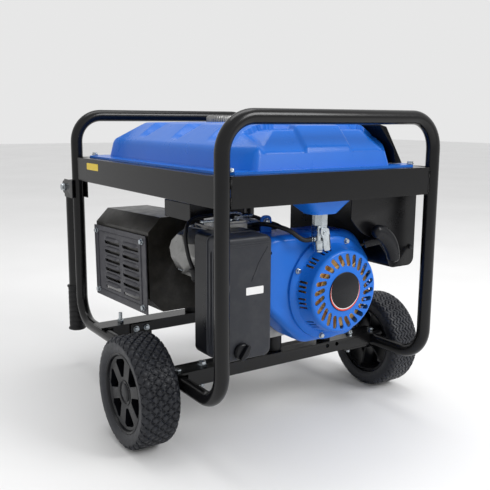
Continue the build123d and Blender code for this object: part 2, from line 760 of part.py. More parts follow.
def lean(shape):
    """Tips a shape with the muffler, its rear end lower."""
    middle = Pos(0, (muffler_y0 + muffler_y1) / 2, (muffler_z0 + muffler_z1) / 2)
    return middle * Rot(muffler_lean, 0, 0) * middle.inverse() * shape


def muffler_box(inset):
    x0, x1 = muffler_x0 + 5 + inset, muffler_x1 - inset
    y0, y1 = muffler_y0 + inset, muffler_y1 - inset
    box = block(x0, x1, y0, y1, muffler_z0 + inset, muffler_z1 - inset)
    return chamfer(box.edges().filter_by(Axis.Y).group_by(Axis.X)[0], 28 - inset * 0.6)


def muffler():
    """The silencer's box with chamfered corners, its pipe from the head and its outlet."""
    body = lean(muffler_box(0) - muffler_box(1.6))
    x, _, z = cylinder_point(190, 12)
    y0 = cylinder_y + 50.2
    body = body + rod((x, y0, z), (x, muffler_y0 + 12, z), 15) + rod((x, y0, z), (x, y0 + 7, z), 19)
    body = body + lean(rod((-120, muffler_y1 - 2, 230), (-120, muffler_y1 + 16, 230), 12))
    inlet = rod((x, y0 - 1, z), (x, muffler_y0 + 20, z), 12.5)
    return body - inlet - lean(rod((-120, muffler_y1 - 12, 230), (-120, muffler_y1 + 20, 230), 10.5))


def muffler_guard():
    """The louvred plate screwed over the muffler's outer face."""
    low, high = muffler_z0 - 2.5, muffler_z1 - 34.5
    plate = block(muffler_x0 - 1.5, muffler_x0 + 1.5, muffler_y0 + 1, muffler_y1 - 1, low, high)
    for column in (0, 1):
        for row in range(6):
            y = muffler_y0 + 73 + 92 * column
            z = low + 28 + 19.5 * row
            slot = Plane(origin=(muffler_x0, y, z), x_dir=(0, 1, 0), z_dir=(1, 0, 0))
            plate = plate - extrude(slot * SlotOverall(78, 9), 5, both=True)
    for y in (muffler_y0 + 16, muffler_y1 - 16):
        for z in (low + 12, high - 12):
            plate = plate + hexagon((muffler_x0 - 6, y, z), (muffler_x0 + 4.8, y, z), 9)
    return lean(plate)


# Control panel -------------------------------------------------------------------------------

box_x0, box_x1 = 168.0, 238.0
box_y0, box_y1 = front + 40, front + 350
box_z0, box_z1 = 301.0, 441.0


def control_box():
    """The panel's black housing under the right rail, with its front skirt."""
    made = block(box_x0, box_x1, box_y0, box_y1, box_z0, box_z1)
    made = fillet(made.edges().filter_by(Axis.Y).group_by(Axis.Z)[0], 16)
    made = made - block(box_x0 + 3, box_x1 + 1, box_y0 + 3, box_y1 - 3, box_z0 + 20, box_z1 - 4)
    swoop = [(70, 404), (86, 386), (108, 371), (130, 363), (151, 344), (170, 321)]
    edge = Polyline((170, 321), (170, box_z1), (70, box_z1), (70, 404))
    skirt = make_face(edge + Spline(*swoop))
    plane = Plane(origin=(0, box_y0, 0), x_dir=(1, 0, 0), z_dir=(0, -1, 0))
    made = made + extrude(plane * skirt, -3)
    screw = hexagon((box_x1 - 12, box_y0 - 4, 338), (box_x1 - 12, box_y0, 338), 9)
    return made + screw


def control_panel():
    """The panel's face plate with round openings for the outlets and controls."""
    made = block(box_x1 - 4, box_x1 - 0.2, box_y0 + 3.2, box_y1 - 3.2, box_z0 + 20.2, box_z1 - 4.2)
    for y in outlet_places():
        made = made - rod((box_x1 - 10, y, 378), (box_x1 + 5, y, 378), 20.1)
    made = made - rod((box_x1 - 10, switch_y, 400), (box_x1 + 5, switch_y, 400), 5 + play)
    return made - rod((box_x1 - 10, switch_y, 352), (box_x1 + 5, switch_y, 352), 6 + play)


switch_y = box_y0 + 40


def outlet_places():
    return [box_y0 + 110 + 62 * i for i in range(3)]


def outlets():
    """Three round socket outlets, each with its slots and earth hole."""
    made = None
    for y in outlet_places():
        one = rod((box_x1 - 30, y, 378), (box_x1, y, 378), 20)
        one = one + rod((box_x1, y, 378), (box_x1 + 2.5, y, 378), 23)
        for step in (-6.5, 6.5):
            one = one - block(box_x1 - 14, box_x1 + 4, y + step - 1.2, y + step + 1.2, 379, 389)
        one = one - rod((box_x1 - 14, y, 369), (box_x1 + 4, y, 369), 2.6)
        made = one if made is None else made + one
    return made


def engine_switch():
    """The turning engine switch on the panel."""
    made = rod((box_x1 - 18, switch_y, 400), (box_x1 + 0.4, switch_y, 400), 5)
    made = made + rod((box_x1 + 0.4, switch_y, 400), (box_x1 + 3.4, switch_y, 400), 14)
    return made + block(box_x1 + 3.4, box_x1 + 9, switch_y - 3.5, switch_y + 3.5, 387, 413)


def breaker_button():
    """The circuit breaker's push button."""
    return rod((box_x1 - 14, switch_y, 352), (box_x1 + 6, switch_y, 352), 6)


def panel_hood():
    """The black moulded hood that follows the tank's right shoulder over the panel."""
    plane = Plane(origin=(0, front + 52, 0), x_dir=(1, 0, 0), z_dir=(0, -1, 0))
    outline = make_face(Polyline(
        (145.5, tank_top - 2), (182, tank_break - 1), (188, rail_top + 5), (207, rail_top + 5),
        (200, rail_top + 16), (162, tank_top - 3), (145.5, tank_top + 1), close=True,
    ))
    return extrude(plane * outline, -350)


# Fasteners that show on the frame --------------------------------------------------------------


def frame_bolts():
    """Bolts through the cross beams: axle brackets, beam ends and support legs."""
    made = None
    for x in (-178.5, 178.5):
        one = bolt((x, front_beam_y + 22, 146), (x, front_beam_y + 22, 98), 4, 13, 35.5)
        made = one if made is None else made + one
    for x in foot_bolt_x():
        y = rear_beam_y - 9.8
        made = made + bolt((x, y, 126), (x, y + 21, 126), 3, 10, 13.9)
    for x in (-192.5, 192.5):
        made = made + hexagon((x, rear_beam_y + 22, beam_top), (x, rear_beam_y + 22, beam_top + 7), 13)
        made = made + rod((x, rear_beam_y + 22, beam_top), (x, rear_beam_y + 22, beam_top + 22), 4)
    for x in (-leg_x, leg_x):
        made = made + hexagon((x, front_beam_y + 14, beam_top), (x, front_beam_y + 14, beam_top + 5), 11)
    return made


def mirrored(make):
    return mirror(make(), Plane.YZ)


front_hoop = hoop(front, 1)
rear_hoop = hoop(rear, -1)
parts = {
    "front_hoop": front_hoop,
    "rear_hoop": rear_hoop,
    "front_beam": front_beam(),
    "rear_beam": rear_beam(),
    "axle_brackets": axle_brackets(),
    "axle": axle(),
    "wheel_rim_right": rim(),
    "wheel_rim_left": mirrored(rim),
    "tyre_right": tyre(),
    "tyre_left": mirrored(tyre),
    "support_legs": both_sides(support_leg()),
    "support_feet": both_sides(support_foot()),
    "handle_brackets": both_sides(handle_bracket()),
    "handle_right": handle_tube(),
    "handle_left": mirrored(handle_tube),
    "grip_right": grip(),
    "grip_left": mirrored(grip),
    "front_rail": end_rail(front, 1),
    "rear_rail": end_rail(rear, -1),
    "left_rail": side_rail(-1),
    "right_rail": side_rail(1),
    "tank_upper": tank_upper(),
    "tank_lower": tank_lower(),
    "fuel_cap": fuel_cap(),
    "fuel_cock": fuel_cock(),
    "cock_lever": cock_lever(),
    "fuel_hose": fuel_hose(),
    "crankcase": crankcase(),
    "crankshaft": crankshaft(),
    "flywheel": flywheel(),
    "piston": piston(),
    "cylinder_head": cylinder_head(),
    "valve_cover": valve_cover(),
    "spark_plug": spark_plug(),
    "ignition_lead": ignition_lead(),
    "head_shield": head_shield(),
    "carburettor": carburettor(),
    "choke_lever": choke_lever(),
    "air_filter_base": air_filter_base(),
    "air_filter_cover": air_filter_cover(),
    "filter_element": filter_element(),
    "filter_knob": filter_knob(),
    "blower_housing": blower_housing(),
    "recoil_cover": recoil_cover(),
    "recoil_badge": recoil_badge(),
    "recoil_reel": recoil_reel(),
    "pull_handle": pull_handle(),
    "alternator_housing": alternator_housing(),
    "alternator_end_cover": alternator_end_cover(),
    "rotor": rotor(),
    "engine_mounts": engine_mounts(),
    "muffler": muffler(),
    "muffler_guard": muffler_guard(),
    "control_box": control_box(),
    "control_panel": control_panel(),
    "outlets": outlets(),
    "engine_switch": engine_switch(),
    "breaker_button": breaker_button(),
    "panel_hood": panel_hood(),
    "frame_bolts": frame_bolts() + tank_bolts() + both_sides(handle_bolt()),
}
os.makedirs("parts", exist_ok=True)
for name, shape in parts.items():
    export_step(shape, f"parts/{name}.step")
print(len(parts), "pieces")
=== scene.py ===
import json
import random
from math import atan2, cos, floor, hypot, pi, radians, sin

import bmesh
import bpy
from mathutils import Matrix, Vector


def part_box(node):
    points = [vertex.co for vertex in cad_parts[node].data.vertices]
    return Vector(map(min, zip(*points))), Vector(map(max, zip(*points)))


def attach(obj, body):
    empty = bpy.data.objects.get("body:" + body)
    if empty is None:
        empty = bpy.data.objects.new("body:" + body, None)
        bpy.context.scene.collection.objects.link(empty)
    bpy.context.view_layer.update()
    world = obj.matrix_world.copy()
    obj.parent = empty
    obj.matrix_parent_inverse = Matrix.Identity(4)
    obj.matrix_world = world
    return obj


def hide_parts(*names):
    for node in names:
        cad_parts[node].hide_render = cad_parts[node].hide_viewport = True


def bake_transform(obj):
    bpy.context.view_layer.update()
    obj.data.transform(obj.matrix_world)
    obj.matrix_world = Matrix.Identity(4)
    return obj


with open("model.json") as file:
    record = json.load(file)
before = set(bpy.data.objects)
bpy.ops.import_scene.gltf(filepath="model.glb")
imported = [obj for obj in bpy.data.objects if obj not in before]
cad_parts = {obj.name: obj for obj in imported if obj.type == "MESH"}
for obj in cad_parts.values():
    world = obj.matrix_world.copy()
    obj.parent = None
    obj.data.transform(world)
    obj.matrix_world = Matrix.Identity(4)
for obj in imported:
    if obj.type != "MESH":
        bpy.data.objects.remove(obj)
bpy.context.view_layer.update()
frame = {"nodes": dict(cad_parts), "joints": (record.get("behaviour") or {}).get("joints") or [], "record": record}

# Portable generator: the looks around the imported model. Metres; +X right, +Y to the alternator, +Z up.

random.seed(7)
mm = 0.001
nodes = frame["nodes"]
joints = {j["name"]: j for j in frame["joints"]}
crank = Vector(joints["crank_spin"]["pos_m"])
tube_r = 12.7 * mm
bend_r = 58 * mm
cylinder_slant = radians(18)
hoop_low, hoop_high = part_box("front_hoop")
front_y = hoop_low.y + tube_r
rear_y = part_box("rear_hoop")[1].y - tube_r
leg_x = hoop_high.x - tube_r
top_z = hoop_high.z - tube_r
side_z = hoop_low.z + tube_r



def add_object(name, data):
    obj = bpy.data.objects.new(name, data)
    bpy.context.scene.collection.objects.link(obj)
    return obj


# Camera


def add_camera():
    yaw, pitch, roll = radians(33.77), radians(10.28), radians(0.395)
    ahead = Vector((sin(yaw) * cos(pitch), cos(yaw) * cos(pitch), -sin(pitch)))
    right = Vector((cos(yaw), -sin(yaw), 0))
    up = right.cross(ahead)
    turned_right = cos(roll) * right + sin(roll) * up
    turned_up = cos(roll) * up - sin(roll) * right
    data = bpy.data.cameras.new("camera")
    data.sensor_width = 36
    data.lens = 51.63
    camera = add_object("camera", data)
    place = Vector((-0.5643 - leg_x, -0.9082 + front_y, top_z - 0.0022))
    turned = Matrix((turned_right, turned_up, -ahead)).transposed().to_4x4()
    camera.matrix_world = Matrix.Translation(place) @ turned
    bpy.context.scene.camera = camera


# Materials


class Nodes:
    """A short way to add and link shader nodes."""
    def __init__(self, name):
        self.material = bpy.data.materials.new(name)
        self.material.use_nodes = True
        self.tree = self.material.node_tree
        self.shader = self.tree.nodes["Principled BSDF"]
        self.place = self.add("ShaderNodeTexCoord").outputs["Object"]

    def add(self, kind, **values):
        node = self.tree.nodes.new(kind)
        for key, value in values.items():
            if hasattr(node, key):
                setattr(node, key, value)
            else:
                node.inputs[key.replace("_", " ")].default_value = value
        return node

    def link(self, output, target):
        self.tree.links.new(output, target)

    def noise(self, scale, detail=4.0, roughness=0.55, stretch=None):
        node = self.add("ShaderNodeTexNoise", Scale=scale, Detail=detail, Roughness=roughness)
        source = self.place
        if stretch:
            mapping = self.add("ShaderNodeMapping")
            mapping.inputs["Scale"].default_value = stretch
            self.link(self.place, mapping.inputs["Vector"])
            source = mapping.outputs["Vector"]
        self.link(source, node.inputs["Vector"])
        return node.outputs["Fac"]

    def spread(self, value, low, high, low_in=0.3, high_in=0.7):
        node = self.add("ShaderNodeMapRange")
        for name, number in (("From Min", low_in), ("From Max", high_in), ("To Min", low), ("To Max", high)):
            node.inputs[name].default_value = number
        self.link(value, node.inputs["Value"])
        return node.outputs["Result"]

    def blend(self, amount, first, second):
        node = self.add("ShaderNodeMix", data_type="RGBA")
        self.link(amount, node.inputs["Factor"])
        for socket, colour in ((node.inputs[6], first), (node.inputs[7], second)):
            if isinstance(colour, tuple):
                socket.default_value = colour + (1.0,)
            else:
                self.link(colour, socket)
        return node.outputs[2]

    def bump(self, height, strength, distance):
        """Raises the surface by a height pattern; distance is in metres."""
        node = self.add("ShaderNodeBump", Strength=strength, Distance=distance)
        self.link(height, node.inputs["Height"])
        self.link(node.outputs["Normal"], self.shader.inputs["Normal"])

    def wear(self):
        """1 along outward edges, 0 elsewhere."""
        edge = self.add("ShaderNodeNewGeometry").outputs["Pointiness"]
        return self.spread(edge, 0.0, 1.0, 0.53, 0.62)


def shade(colour, factor):
    return tuple(min(1.0, c * factor) for c in colour)


def finish(name, colour, rough, metal=0.0, coat=0.0, mottle=0.12, mottle_scale=9.0, grain=0.15,
           grain_scale=900.0, wear=None, dust=0.0, streak=None, specular=0.5):
    """One painted, moulded or plated surface: mottled colour, uneven gloss, fine grain and worn edges."""
    made = Nodes(name)
    shader = made.shader
    shader.inputs["Metallic"].default_value = metal
    shader.inputs["Coat Weight"].default_value = coat
    shader.inputs["Coat Roughness"].default_value = 0.12
    shader.inputs["Specular IOR Level"].default_value = specular
    cloud = made.noise(mottle_scale, 6.0, 0.6, streak)
    tone = made.blend(made.spread(cloud, 0.0, 1.0), shade(colour, 1 - mottle), shade(colour, 1 + mottle))
    if wear:
        patchy = made.add("ShaderNodeMath", operation="MULTIPLY")
        made.link(made.wear(), patchy.inputs[0])
        made.link(made.spread(made.noise(60.0), 0.0, 1.0, 0.42, 0.62), patchy.inputs[1])
        tone = made.blend(patchy.outputs[0], tone, wear)
    if dust:
        settle = made.spread(made.noise(38.0, 8.0, 0.7), 0.0, dust, 0.45, 0.75)
        tone = made.blend(settle, tone, (0.45, 0.43, 0.40))
    made.link(tone, shader.inputs["Base Color"])
    made.link(made.spread(made.noise(mottle_scale * 3, 5.0), rough * 0.85, rough * 1.18),
              shader.inputs["Roughness"])
    made.bump(made.noise(grain_scale, 3.0), grain, 0.0002)
    return made.material


def brushed(name, colour, rough, grain_scale=260.0):
    """Cast or plated metal: fine pits, cloudy tone and small dark stains."""
    made = Nodes(name)
    shader = made.shader
    shader.inputs["Metallic"].default_value = 1.0
    tone = made.blend(made.spread(made.noise(30.0, 6.0), 0.0, 1.0), shade(colour, 0.8), shade(colour, 1.12))
    stain = made.spread(made.noise(85.0, 8.0, 0.7), 0.0, 0.35, 0.55, 0.75)
    made.link(made.blend(stain, tone, (0.16, 0.15, 0.14)), shader.inputs["Base Color"])
    made.link(made.spread(made.noise(70.0, 5.0), rough * 0.75, rough * 1.3), shader.inputs["Roughness"])
    made.bump(made.noise(grain_scale, 5.0, 0.7), 0.35, 0.0005)
    return made.material


def tyre_rubber():
    made = Nodes("tyre_rubber")
    tone = made.blend(made.spread(made.noise(24.0, 7.0, 0.65), 0.0, 1.0), (0.005, 0.006, 0.010),
                      (0.010, 0.012, 0.018))
    scuffed = made.spread(made.wear(), 0.0, 0.55)
    made.link(made.blend(scuffed, tone, (0.045, 0.050, 0.062)), made.shader.inputs["Base Color"])
    made.shader.inputs["Specular IOR Level"].default_value = 0.42
    made.link(made.spread(made.noise(120.0), 0.34, 0.50), made.shader.inputs["Roughness"])
    made.bump(made.noise(700.0, 4.0), 0.25, 0.0003)
    return made.material


black = finish("black_powder_coat", (0.003, 0.003, 0.0034), 0.22, mottle=0.12, mottle_scale=60.0, grain=0.07,
               grain_scale=1600.0, specular=0.30)
blue = finish("blue_enamel", (0.011, 0.136, 0.57), 0.30, coat=0.10, mottle=0.04, grain=0.03,
              grain_scale=220.0,
              specular=0.2)
zinc = brushed("zinc_plate", (0.46, 0.50, 0.53), 0.26)
alloy = brushed("cast_alloy", (0.26, 0.26, 0.255), 0.33, 420.0)
steel = brushed("machined_steel", (0.42, 0.42, 0.43), 0.30)
charcoal = finish("heatproof_charcoal", (0.036, 0.036, 0.045), 0.40, mottle=0.12, mottle_scale=14.0,
                  grain=0.2,
                  grain_scale=800.0, wear=(0.12, 0.12, 0.13), specular=0.3)
hot_steel = finish("sooty_steel", (0.016, 0.0145, 0.012), 0.34, metal=0.2, mottle=0.35, mottle_scale=22.0,
                   grain=0.3,
                   grain_scale=300.0, dust=0.05, streak=(1.0, 0.25, 1.0), specular=0.35)
grey_plastic = finish("dark_grey_plastic", (0.020, 0.022, 0.028), 0.42, mottle=0.07, grain=0.40,
                      grain_scale=1500.0,
                      dust=0.03, specular=0.30)
black_plastic = finish("black_plastic", (0.0035, 0.004, 0.006), 0.30, mottle=0.1, grain=0.18,
                       grain_scale=1100.0,
                       specular=0.26)
satin_black = finish("satin_black", (0.003, 0.003, 0.0038), 0.30, mottle=0.2, grain=0.2, grain_scale=500.0,
                     specular=0.28)
rubber = finish("black_rubber", (0.006, 0.006, 0.007), 0.48, mottle=0.15, grain=0.4, grain_scale=900.0,
                specular=0.3)
tan = finish("tan_fan", (0.84, 0.53, 0.19), 0.5, mottle=0.15, mottle_scale=30.0, grain=0.3)
foam = finish("oiled_foam", (0.06, 0.06, 0.055), 0.85, mottle=0.3, mottle_scale=60.0, grain=1.0,
              grain_scale=700.0)
red = finish("badge_red", (0.60, 0.02, 0.015), 0.3, coat=0.4, mottle=0.05)
white = finish("badge_white", (0.72, 0.72, 0.72), 0.35, coat=0.3, mottle=0.04)
yellow = finish("label_yellow", (0.72, 0.52, 0.03), 0.4, mottle=0.06)
tread = tyre_rubber()

# Mesh helpers


def piece(name, bm, material, node=None, sharp=34, bevel=0.0, segments=2):
    """Adds a shape as a named piece, smooth shaded, its edges rounded by bevel in mm.

    It stands for a CAD node and rides on that node's body; without one it rides on the chassis.
    """
    mesh = mesh_of(bm)
    obj = add_object(name, mesh)
    mesh.materials.append(material)
    mesh.shade_smooth()
    if bevel:
        rounding = obj.modifiers.new("rounding", "BEVEL")
        rounding.width = bevel * mm
        rounding.segments = segments
        rounding.limit_method = "ANGLE"
        rounding.angle_limit = radians(sharp)
        rounding.harden_normals = True
    mesh.set_sharp_from_angle(angle=radians(sharp + (30 if bevel else 0)))
    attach(obj, body_of_node(node) if node else "chassis")
    if node:
        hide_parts(node)


def mesh_of(bm):
    bmesh.ops.recalc_face_normals(bm, faces=bm.faces)
    mesh = bpy.data.meshes.new("mesh")
    bm.to_mesh(mesh)
    bm.free()
    return mesh


def body_of_node(node):
    return next(b for b, names in frame["record"]["behaviour"]["bodies"].items() if node in names)


def soften(node, material, bevel=0.8, segments=2, sharp=34):
    """The CAD node's own shape with its edges rounded over, as pressed, cast or moulded parts are."""
    bm = bmesh.new()
    bm.from_mesh(nodes[node].data)
    bmesh.ops.remove_doubles(bm, verts=bm.verts, dist=2e-6)
    bmesh.ops.dissolve_limit(bm, angle_limit=radians(0.8), verts=bm.verts, edges=bm.edges)
    return piece(f"{node}_body", bm, material, node, sharp, bevel, segments)


def grid_mesh(rows, close_rows=False, close_columns=False):
    """A mesh over rows of points."""
    bm = bmesh.new()
    made = [[bm.verts.new(p) for p in row] for row in rows]
    height, width = len(rows), len(rows[0])
    for i in range(height if close_rows else height - 1):
        for j in range(width if close_columns else width - 1):
            ring = (made[i][j], made[i][(j + 1) % width], made[(i + 1) % height][(j + 1) % width],
                    made[(i + 1) % height][j])
            bm.faces.new(ring)
    return bm


def close_end(bm, count, both=False):
    """Closes a grid's last ring of count points with a face, and its first too if both."""
    bm.verts.ensure_lookup_table()
    if both:
        bm.faces.new(bm.verts[:count][::-1])
    bm.faces.new(bm.verts[-count:])
    return bm


def lathe(profile, centre, axis="X", segments=64, warp=None):
    """Turns (radius, along) points, in mm, about an axis through centre."""
    rows = []
    for i in range(segments):
        turn = 2 * pi * i / segments
        row = []
        for radius, along in profile:
            radius, along = radius * mm, along * mm
            if warp:
                radius = warp(turn, radius, along)
            a, b = radius * cos(turn), radius * sin(turn)
            offset = {"X": (along, a, b), "Y": (a, along, b), "Z": (a, b, along)}[axis]
            row.append(Vector(centre) + Vector(offset))
        rows.append(row)
    bm = grid_mesh(rows, close_rows=True, close_columns=profile[0] == profile[-1])
    bmesh.ops.remove_doubles(bm, verts=bm.verts, dist=1e-7)
    return bm


def prism(outline, frame_of, depth):
    """Extrudes a closed (u, v) outline; frame_of maps (u, v, depth) to a point."""
    bm = bmesh.new()
    near = [bm.verts.new(frame_of(u, v, 0.0)) for u, v in outline]
    far = [bm.verts.new(frame_of(u, v, depth)) for u, v in outline]
    bm.faces.new(near)
    bm.faces.new(far[::-1])
    for i in range(len(near)):
        j = (i + 1) % len(near)
        bm.faces.new((near[j], near[i], far[i], far[j]))
    return bm


def in_plan(z):
    """For prism: an (x, y) outline that rises from height z, all in mm."""
    return lambda u, v, d: at(u, v, z + d)


def facing_front(y):
    """For prism: an (x, z) outline that deepens from y behind the front legs, all in mm."""
    return lambda u, v, d: at(u, y + d, v)


def box_bm(low, high):
    bm = bmesh.new()
    bmesh.ops.create_cube(bm, size=1.0)
    low, high = Vector(low), Vector(high)
    for v in bm.verts:
        v.co = Vector([low[k] + (v.co[k] + 0.5) * (high[k] - low[k]) for k in range(3)])
    return bm


def rounded(x0, x1, y0, y1, radius, steps=6):
    """A rectangle's outline with round corners, anticlockwise."""
    points = []
    corners = ((x1, y1, 0), (x0, y1, 90), (x0, y0, 180), (x1, y0, 270))
    for x, y, start in corners:
        cx = x - radius if x == x1 else x + radius
        cy = y - radius if y == y1 else y + radius
        for i in range(steps + 1):
            turn = radians(start + 90 * i / steps)
            points.append((cx + radius * cos(turn), cy + radius * sin(turn)))
    return points


def round_corners(points, radius, steps=6):
    """A polygon's outline with its corners rounded by arcs; radius is a number or one per corner."""
    made = []
    count = len(points)
    radii = radius if isinstance(radius, (list, tuple)) else [radius] * count
    for i in range(count):
        before, here, after = (Vector(points[(i + k) % count]) for k in (-1, 0, 1))
        first, second = (before - here).normalized(), (after - here).normalized()
        half = first.angle(second) / 2
        reach = radii[i] / max(1e-6, abs(sin(half) / cos(half)))
        reach = min(reach, 0.48 * (before - here).length, 0.48 * (after - here).length)
        start, end = here + first * reach, here + second * reach
        for k in range(steps + 1):
            t = k / steps
            made.append(tuple((1 - t) ** 2 * start + 2 * t * (1 - t) * here + t**2 * end))
    return made


def slot_outline(cx, cy, length, width, turn=0.0, steps=6):
    """An oval slot's outline about (cx, cy)."""
    half = length / 2 - width / 2
    points = []
    for side in (1, -1):
        for i in range(steps + 1):
            a = -pi / 2 + pi * i / steps
            u, v = side * (half + width / 2 * cos(a)), side * width / 2 * sin(a)
            points.append((cx + u * cos(turn) - v * sin(turn), cy + u * sin(turn) + v * cos(turn)))
    return points


def carve(target, cutters):
    """Cuts closed shapes out of another."""
    body = add_object("carved", mesh_of(target))
    tool = add_object("cutters", mesh_of(merged(*cutters)))
    cut = body.modifiers.new("cut", "BOOLEAN")
    cut.object = tool
    cut.solver = "EXACT"
    bpy.context.view_layer.update()
    result = bpy.data.meshes.new_from_object(body.evaluated_get(bpy.context.evaluated_depsgraph_get()))
    bpy.data.objects.remove(body)
    bpy.data.objects.remove(tool)
    bm = bmesh.new()
    bm.from_mesh(result)
    bmesh.ops.remove_doubles(bm, verts=bm.verts, dist=2e-6)
    bmesh.ops.dissolve_limit(bm, angle_limit=radians(0.5), verts=bm.verts, edges=bm.edges)
    return bm


def tube_along(points, radii, segments=28, closed_ends=True):
    """A round bar along points; radii is one number or one per point."""
    points = [Vector(p) for p in points]
    if not isinstance(radii, (list, tuple)):
        radii = [radii] * len(points)
    rows = []
    side = None
    for i, here in enumerate(points):
        way = (points[min(i + 1, len(points) - 1)] - points[max(i - 1, 0)]).normalized()
        if side is None:
            side = way.orthogonal().normalized()
        side = (side - way * side.dot(way)).normalized()
        other = way.cross(side)
        ring = []
        for k in range(segments):
            a = 2 * pi * k / segments
            ring.append(here + radii[i] * (cos(a) * side + sin(a) * other))
        rows.append(ring)
    bm = grid_mesh(rows, close_columns=True)
    return close_end(bm, segments, both=True) if closed_ends else bm


def smooth_path(points, steps=10):
    """Points along a Catmull-Rom curve through the given ones."""
    points = [Vector(p) for p in points]
    ends = [2 * points[0] - points[1]] + points + [2 * points[-1] - points[-2]]
    made = []
    for i in range(1, len(ends) - 2):
        a, b, c, d = ends[i - 1:i + 3]
        for k in range(steps):
            t = k / steps
            made.append(0.5 * ((2 * b) + (c - a) * t + (2 * a - 5 * b + 4 * c - d) * t**2
                               + (3 * b - a - 3 * c + d) * t**3))
    return made + [points[-1]]


def bent_path(corners, radius, steps=14):
    """Straight runs joined by true arcs."""
    corners = [Vector(c) for c in corners]
    made = [corners[0]]
    for before, here, after in zip(corners, corners[1:], corners[2:]):
        first, second = (before - here).normalized(), (after - here).normalized()
        half = first.angle(second) / 2
        middle = here + (first + second).normalized() * radius / sin(half)
        start = here + first * radius * cos(half) / sin(half) - middle
        end = here + second * radius * cos(half) / sin(half) - middle
        sweep = start.angle(end)
        for k in range(steps + 1):
            t = sweep * k / steps
            made.append(middle + start * (sin(sweep - t) / sin(sweep)) + end * (sin(t) / sin(sweep)))
    return made + [corners[-1]]


def hexagon_bolt(place, way, across, height):
    """A flanged hexagon head standing on place, facing way; across and height are in mm."""
    across, height = across * mm, height * mm
    way = Vector(way).normalized()
    side = way.orthogonal().normalized()
    other = way.cross(side)
    place = Vector(place)
    corner = across * 0.577
    flange = height * 0.28

    def ring(radius, up, count, turn):
        return [place + way * up + radius * (cos(turn + 2 * pi * i / count) * side
                + sin(turn + 2 * pi * i / count) * other) for i in range(count)]

    washer = grid_mesh([ring(across * 0.72, 0, 24, 0), ring(across * 0.68, flange, 24, 0)],
                       close_columns=True)
    head = grid_mesh([ring(corner, flange - 0.1 * mm, 6, 0.3), ring(corner, height * 0.9, 6, 0.3),
                      ring(across * 0.46, height, 6, 0.3)], close_columns=True)
    return merged(close_end(washer, 24, both=True), close_end(head, 6, both=True))


def merged(*parts):
    """Several bmeshes as one."""
    bm = bmesh.new()
    for part in parts:
        mesh = mesh_of(part)
        bm.from_mesh(mesh)
        bpy.data.meshes.remove(mesh)
    return bm


def step(value, low, high):
    t = min(1.0, max(0.0, (value - low) / (high - low)))
    return t * t * (3 - 2 * t)


def band(value, low, high, edge):
    """1 between low and high, falling to 0 over edge outside them."""
    return step(value, low - edge, low) * (1 - step(value, high, high + edge))


def at(x, y, z):
    """A point from millimetres: across, behind the front legs, and above the ground."""
    return Vector((x * mm, front_y + y * mm, z * mm))


def behind(y):
    """A depth in millimetres behind the front legs."""
    return (y - front_y) / mm


# Frame


def hoop(node, plane_y, other_y):
    middle = (plane_y + other_y) / 2
    corners = [(-leg_x, middle, side_z), (-leg_x, plane_y, side_z), (-leg_x, plane_y, top_z),
               (leg_x, plane_y, top_z), (leg_x, plane_y, side_z), (leg_x, middle, side_z)]
    path = bent_path(corners, bend_r)
    piece(f"{node}_tube", tube_along(path, tube_r, 36), black, node)


def weld(name, points, thickness=2.6):
    """A lumpy bead of weld along a line."""
    path = smooth_path(points, 14)
    radii = [(thickness + random.uniform(-0.5, 0.5)) * mm for _ in path]
    piece(name, tube_along(path, radii, 10), black)


def add_frame():
    hoop("front_hoop", front_y, rear_y)
    hoop("rear_hoop", rear_y, front_y)
    for node in ("front_beam", "rear_beam", "axle_brackets", "support_legs", "handle_brackets", "front_rail",
                 "rear_rail", "left_rail", "right_rail"):
        soften(node, black, 0.9)
    low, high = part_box("left_rail")
    y1, z1 = behind(high.y) - 60, high.z / mm - 9
    outline = rounded(y1 - 62, y1, z1 - 14, z1, 1.5, 3)
    sticker = prism(outline, lambda u, v, d: at(low.x / mm - 0.3 + d, u, v), 0.4)
    piece("blank_sticker", sticker, yellow)
    soften("frame_bolts", zinc, 0.45)
    soften("axle", zinc, 0.5)
    soften("support_feet", rubber, 2.0, 3)
    soften("engine_mounts", rubber, 1.5, 3)
    weld_x = leg_x / mm - 12.9
    for side, x in (("left", -weld_x), ("right", weld_x)):
        for name, y in (("front", -5), ("rear", behind(rear_y) + 5)):
            for z, rise in ((450, 14), (491, -14)):
                start, end = at(x, y, z), at(x, y, z + rise)
                weld(f"weld_{name}_{side}_{z}", [start, (start + end) / 2, end])


# Wheels


wheel_r = 101.6


def knobs(turn, along, around):
    """Height, 0 to 1, of square blocks set cornerwise, each with a sunk line inside its edge."""
    pitch = 2 * pi * wheel_r / around
    u = (turn / (2 * pi) * around + along / pitch) % 1.0
    v = (turn / (2 * pi) * around - along / pitch) % 1.0
    inside = min(min(u, 1 - u), min(v, 1 - v))
    block = step(inside, 0.08, 0.13)
    line = band(inside, 0.20, 0.24, 0.03) * 0.4
    return block - line


def waves(turn, along, around):
    """Height of scalloped bands that run round the tyre."""
    pitch = 9.2
    shift = 0.33 * sin(turn * around)
    place = (along / pitch + shift) % 1.0
    across = band(place, 0.16, 0.84, 0.09)
    cut = abs(((turn * around / (2 * pi)) + 0.25 * floor(along / pitch + shift)) % 1.0 - 0.5)
    return across * (0.55 + 0.45 * step(cut, 0.04, 0.1))


